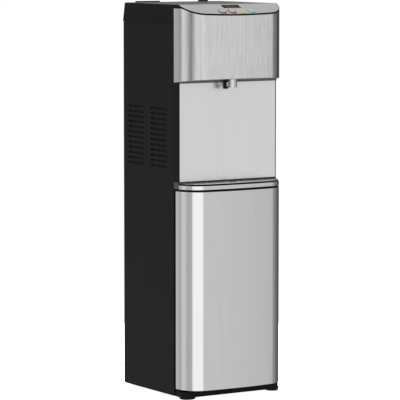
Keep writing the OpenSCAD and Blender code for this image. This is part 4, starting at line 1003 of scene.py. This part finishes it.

# the tray's grille: a thin brushed sheet over a black backing, both pierced by rounded slots; the
# backing gives the slots dark walls, painted shade inside the slots
grille = {  # mm; the slots and the drain hole are those of the photograph
    "top": 570.5, "sheet": 0.15, "sheetGap": 0.05, "shadeBackingLow": 566.2, "inset": 2.0,
    "shadeBackingInset": 2.3, "back": -111.9, "columns": 17, "columnPitch": 16.0, "rows": 5,
    "rowPitch": 7.5, "middleY": -134.0, "clearEdge": 9.0, "halfSlot": 8.0, "slotsWithin": 142.0,
    "clearHole": 21.0, "holeY": -132.0,
}
slot = {"Slot Length": 11.0, "Slot Width": 4.2, "Slot Sides": 16, "Hole Radius": 13.0,
        "Hole Height": 570.0, "Hole Sides": 48, "Cut Depth": 30.0}  # mm


def slotSpots(look):
    edge = planOf(look["inset"] + look["clearEdge"], look["back"])
    spots = []
    for i in range(look["columns"]):
        x = (i - (look["columns"] - 1) / 2) * look["columnPitch"]
        front = look["back"]
        if abs(x) < look["slotsWithin"]:
            front = min(edgeY for edgeX, edgeY in edge if abs(edgeX - x) < look["halfSlot"])
        for k in range(look["rows"]):
            y = look["middleY"] + (k - (look["rows"] - 1) / 2) * look["rowPitch"]
            if math.hypot(x, y - look["holeY"]) > look["clearHole"] and y > front:
                spots.append((x, y))
    return spots


def grilleBase(name, look, inset, low, high):
    outline = planOf(inset, look["back"])
    bm = bmesh.new()
    onSpot = bm.verts.layers.float.new("slotSpot")
    lower, upper = [[bm.verts.new((x * mm, y * mm, z * mm)) for x, y in outline] for z in (low, high)]
    bm.faces.new(upper)
    bm.faces.new(lower[::-1])
    for k in range(len(outline)):
        bm.faces.new((lower[k - 1], lower[k], upper[k], upper[k - 1]))
    for x, y in slotSpots(look):
        bm.verts.new((x * mm, y * mm, (low + high) / 2 * mm))[onSpot] = 1.0
    return meshOf(bm, name)


def grilleTree(name, sizes, finish):
    tree, given = startTree(name, sizes)
    parts = addNode(tree, "GeometryNodeSeparateGeometry", values={
        "Geometry": given["Geometry"], "Selection": attributeOf(tree, "FLOAT", "slotSpot")})
    radius = mathNode(tree, "MULTIPLY", given["Slot Width"], 0.5)
    post = rodOf(tree, given["Slot Sides"], radius, given["Cut Depth"])
    # the two halves of the post move apart, to the ends of the slot
    straight = mathNode(tree, "SUBTRACT", given["Slot Length"], given["Slot Width"])
    half = mathNode(tree, "MULTIPLY", straight, 0.5)
    side = mathNode(tree, "SIGN", mathNode(tree, "ADD", pointParts(tree)["X"], 0.01 * mm))
    capsule = addNode(tree, "GeometryNodeSetPosition", values={
        "Geometry": post, "Offset": vectorOf(tree, X=mathNode(tree, "MULTIPLY", half, side))})
    cutters = eachOn(tree, parts.outputs["Selection"], capsule.outputs[0])
    drain = rodOf(tree, given["Hole Sides"], given["Hole Radius"], given["Cut Depth"])
    hole = movedTo(tree, drain, vectorOf(tree, Y=grille["holeY"] * mm, Z=given["Hole Height"]))
    endTree(tree, cutShape(tree, parts.outputs["Inverted"], (cutters, hole), solver="EXACT"), finish)
    return tree


def grillePiece(name, look, inset, low, high, finish):
    base = grilleBase(name + "Base", look, inset, low, high)
    addPiece(name, growMesh(name, grilleTree(name, slot, finish), slot, base), "drip_grille", finish)


sheetLow = grille["top"] - grille["sheet"]
grillePiece("grilleSheet", grille, grille["inset"], sheetLow, grille["top"], "grilleSteel")
# the black backing also stands in for the shade on the slots' walls: painted shade
grillePiece("grilleCarrier", grille, grille["shadeBackingInset"], grille["shadeBackingLow"],
            sheetLow - grille["sheetGap"], "mouldedBlack")
print("slots pierced in the grille:", len(slotSpots(grille)))

# raised collar around the drain hole: one section swept round a circle, then pressed low
collar = {"Collar Radius": 14.2, "Collar Height": 570.6, "Section Radius": 0.8, "Section Sides": 10,
          "Collar Sides": 56}  # mm
collarPress = 0.2  # share of its height that it keeps


def collarTree(sizes):
    tree, given = startTree("drainCollar", sizes)
    swept = sweptAlong(tree, circleOf(tree, given["Collar Sides"], given["Collar Radius"]),
                       circleOf(tree, given["Section Sides"], given["Section Radius"]))
    centre = vectorOf(tree, Y=grille["holeY"] * mm, Z=given["Collar Height"])
    endTree(tree, movedTo(tree, swept, centre), "grilleSteel")
    return tree


def pressCollar(x, y, z):
    return x, y, collar["Collar Height"] + (z - collar["Collar Height"]) * collarPress


collarMesh = growMesh("drainCollar", collarTree(collar), collar, bpy.data.meshes.new("collarBase"))
reshape(collarMesh, pressCollar)
addPiece("drainCollar", collarMesh, "drip_grille", "grilleSteel", smoothUnder=60)
print("collar around the drain hole")

# the condenser: one tube swept along its level passes and bends, and wires on both sides of it
condenserPath = {"depth": 154.6, "low": 302.0, "passes": 12, "pitch": 46.0, "width": 236.0,
                 "bendSteps": 12}  # mm
condenser = {"Tube Radius": 2.4, "Tube Sides": 12, "Tube Depth": 154.6, "Wire Radius": 0.8,
             "Wire Sides": 8, "Wire Sink": 0.16, "Wire Length": 526.0, "Wire Middle": 555.0,
             "Wires": 22, "Spread": 182.0}  # mm


def condenserBase(look):
    run = (look["width"] - look["pitch"]) / 2
    points = []
    for k in range(look["passes"]):
        side = 1 if k % 2 == 0 else -1
        level = look["low"] + k * look["pitch"]
        points += [(-side * run, level), (side * run, level)]
        if k < look["passes"] - 1:
            for step in range(1, look["bendSteps"]):
                a = math.pi * step / look["bendSteps"]
                points.append((side * (run + look["pitch"] / 2 * math.sin(a)),
                               level + look["pitch"] / 2 * (1 - math.cos(a))))
    mesh = bpy.data.meshes.new("condenserPath")
    mesh.from_pydata([(x * mm, look["depth"] * mm, z * mm) for x, z in points],
                     [(k, k + 1) for k in range(len(points) - 1)], [])
    return mesh


def condenserTree(sizes):
    tree, given = startTree("condenserCoil", sizes)
    path = addNode(tree, "GeometryNodeMeshToCurve", values={"Mesh": given["Geometry"]})
    section = circleOf(tree, given["Tube Sides"], given["Tube Radius"])
    tube = sweptAlong(tree, path.outputs[0], section, caps=True)
    wire = rodOf(tree, given["Wire Sides"], given["Wire Radius"], given["Wire Length"])
    gap = mathNode(tree, "DIVIDE", given["Spread"], mathNode(tree, "SUBTRACT", given["Wires"], 1.0))
    # the wires are welded a little into the tube
    off = mathNode(tree, "ADD", given["Tube Radius"],
                   mathNode(tree, "SUBTRACT", given["Wire Radius"], given["Wire Sink"]))
    shapes = [tube]
    for side in (-1.0, 1.0):
        start = vectorOf(
            tree, X=mathNode(tree, "MULTIPLY", given["Spread"], -0.5),
            Y=mathNode(tree, "ADD", given["Tube Depth"], mathNode(tree, "MULTIPLY", off, side)),
            Z=given["Wire Middle"])
        row = addNode(tree, "GeometryNodeMeshLine", values={
            "Count": given["Wires"], "Start Location": start, "Offset": vectorOf(tree, X=gap)})
        shapes.append(eachOn(tree, row.outputs[0], wire))
    endTree(tree, joinedShapes(tree, shapes), "coilPaint")
    return tree


coilMesh = growMesh("condenserCoil", condenserTree(condenser), condenser, condenserBase(condenserPath))
addPiece("condenserCoil", coilMesh, "condenser", "coilPaint", smoothUnder=40)
print("condenser coil and its wires")

# faint figures of the display, four unlit digits
figures = {"Digits": 4, "Digit Pitch": 9.0, "Segment Length": 4.2, "Segment Gap": 0.336,
           "Segment Width": 0.9, "Segment Height": 0.1, "Segment Sides": 6}  # mm
figuresPlace = {"down": 16.0, "above": 0.16}  # mm from the panel's crest and over the panel


def figureTree(sizes):
    tree, given = startTree("displayFigures", sizes)
    bar = rodOf(tree, given["Segment Sides"], 1.0, given["Segment Height"])
    # a segment is drawn out from a six-sided bar and stops short of its neighbours
    length = mathNode(tree, "SUBTRACT", given["Segment Length"], given["Segment Gap"])
    drawn = vectorOf(tree, X=mathNode(tree, "MULTIPLY", length, 0.5),
                     Y=mathNode(tree, "MULTIPLY", given["Segment Width"], 0.5), Z=1.0)
    segment = addNode(tree, "GeometryNodeTransform", values={"Geometry": bar, "Scale": drawn})
    segments = []
    for across, up, turned in ((0, 1, 0), (0, 0, 0), (0, -1, 0), (-0.5, 0.5, 1), (0.5, 0.5, 1),
                               (-0.5, -0.5, 1), (0.5, -0.5, 1)):
        step = addNode(tree, "ShaderNodeVectorMath", {"operation": "SCALE"}, {
            0: (across, up, 0), "Scale": given["Segment Length"]})
        segments.append(movedTo(tree, segment.outputs[0], step.outputs[0], (0, 0, turned * math.pi / 2)))
    row = addNode(tree, "GeometryNodeMeshLine", values={
        "Count": given["Digits"], "Offset": vectorOf(tree, X=given["Digit Pitch"])})
    endTree(tree, eachOn(tree, row.outputs[0], joinedShapes(tree, segments)), "faintSegment")
    return tree


def ontoDisplay(x, y, z):
    halfRow = (figures["Digits"] - 1) * figures["Digit Pitch"] / 2
    return ontoPanel(x - halfRow, y - figuresPlace["down"], z + figuresPlace["above"])


figureMesh = growMesh("displayFigures", figureTree(figures), figures, bpy.data.meshes.new("figureSpots"))
reshape(figureMesh, ontoDisplay)
addDetail("displayFigures", figureMesh, "display_lens")
print("display figures")
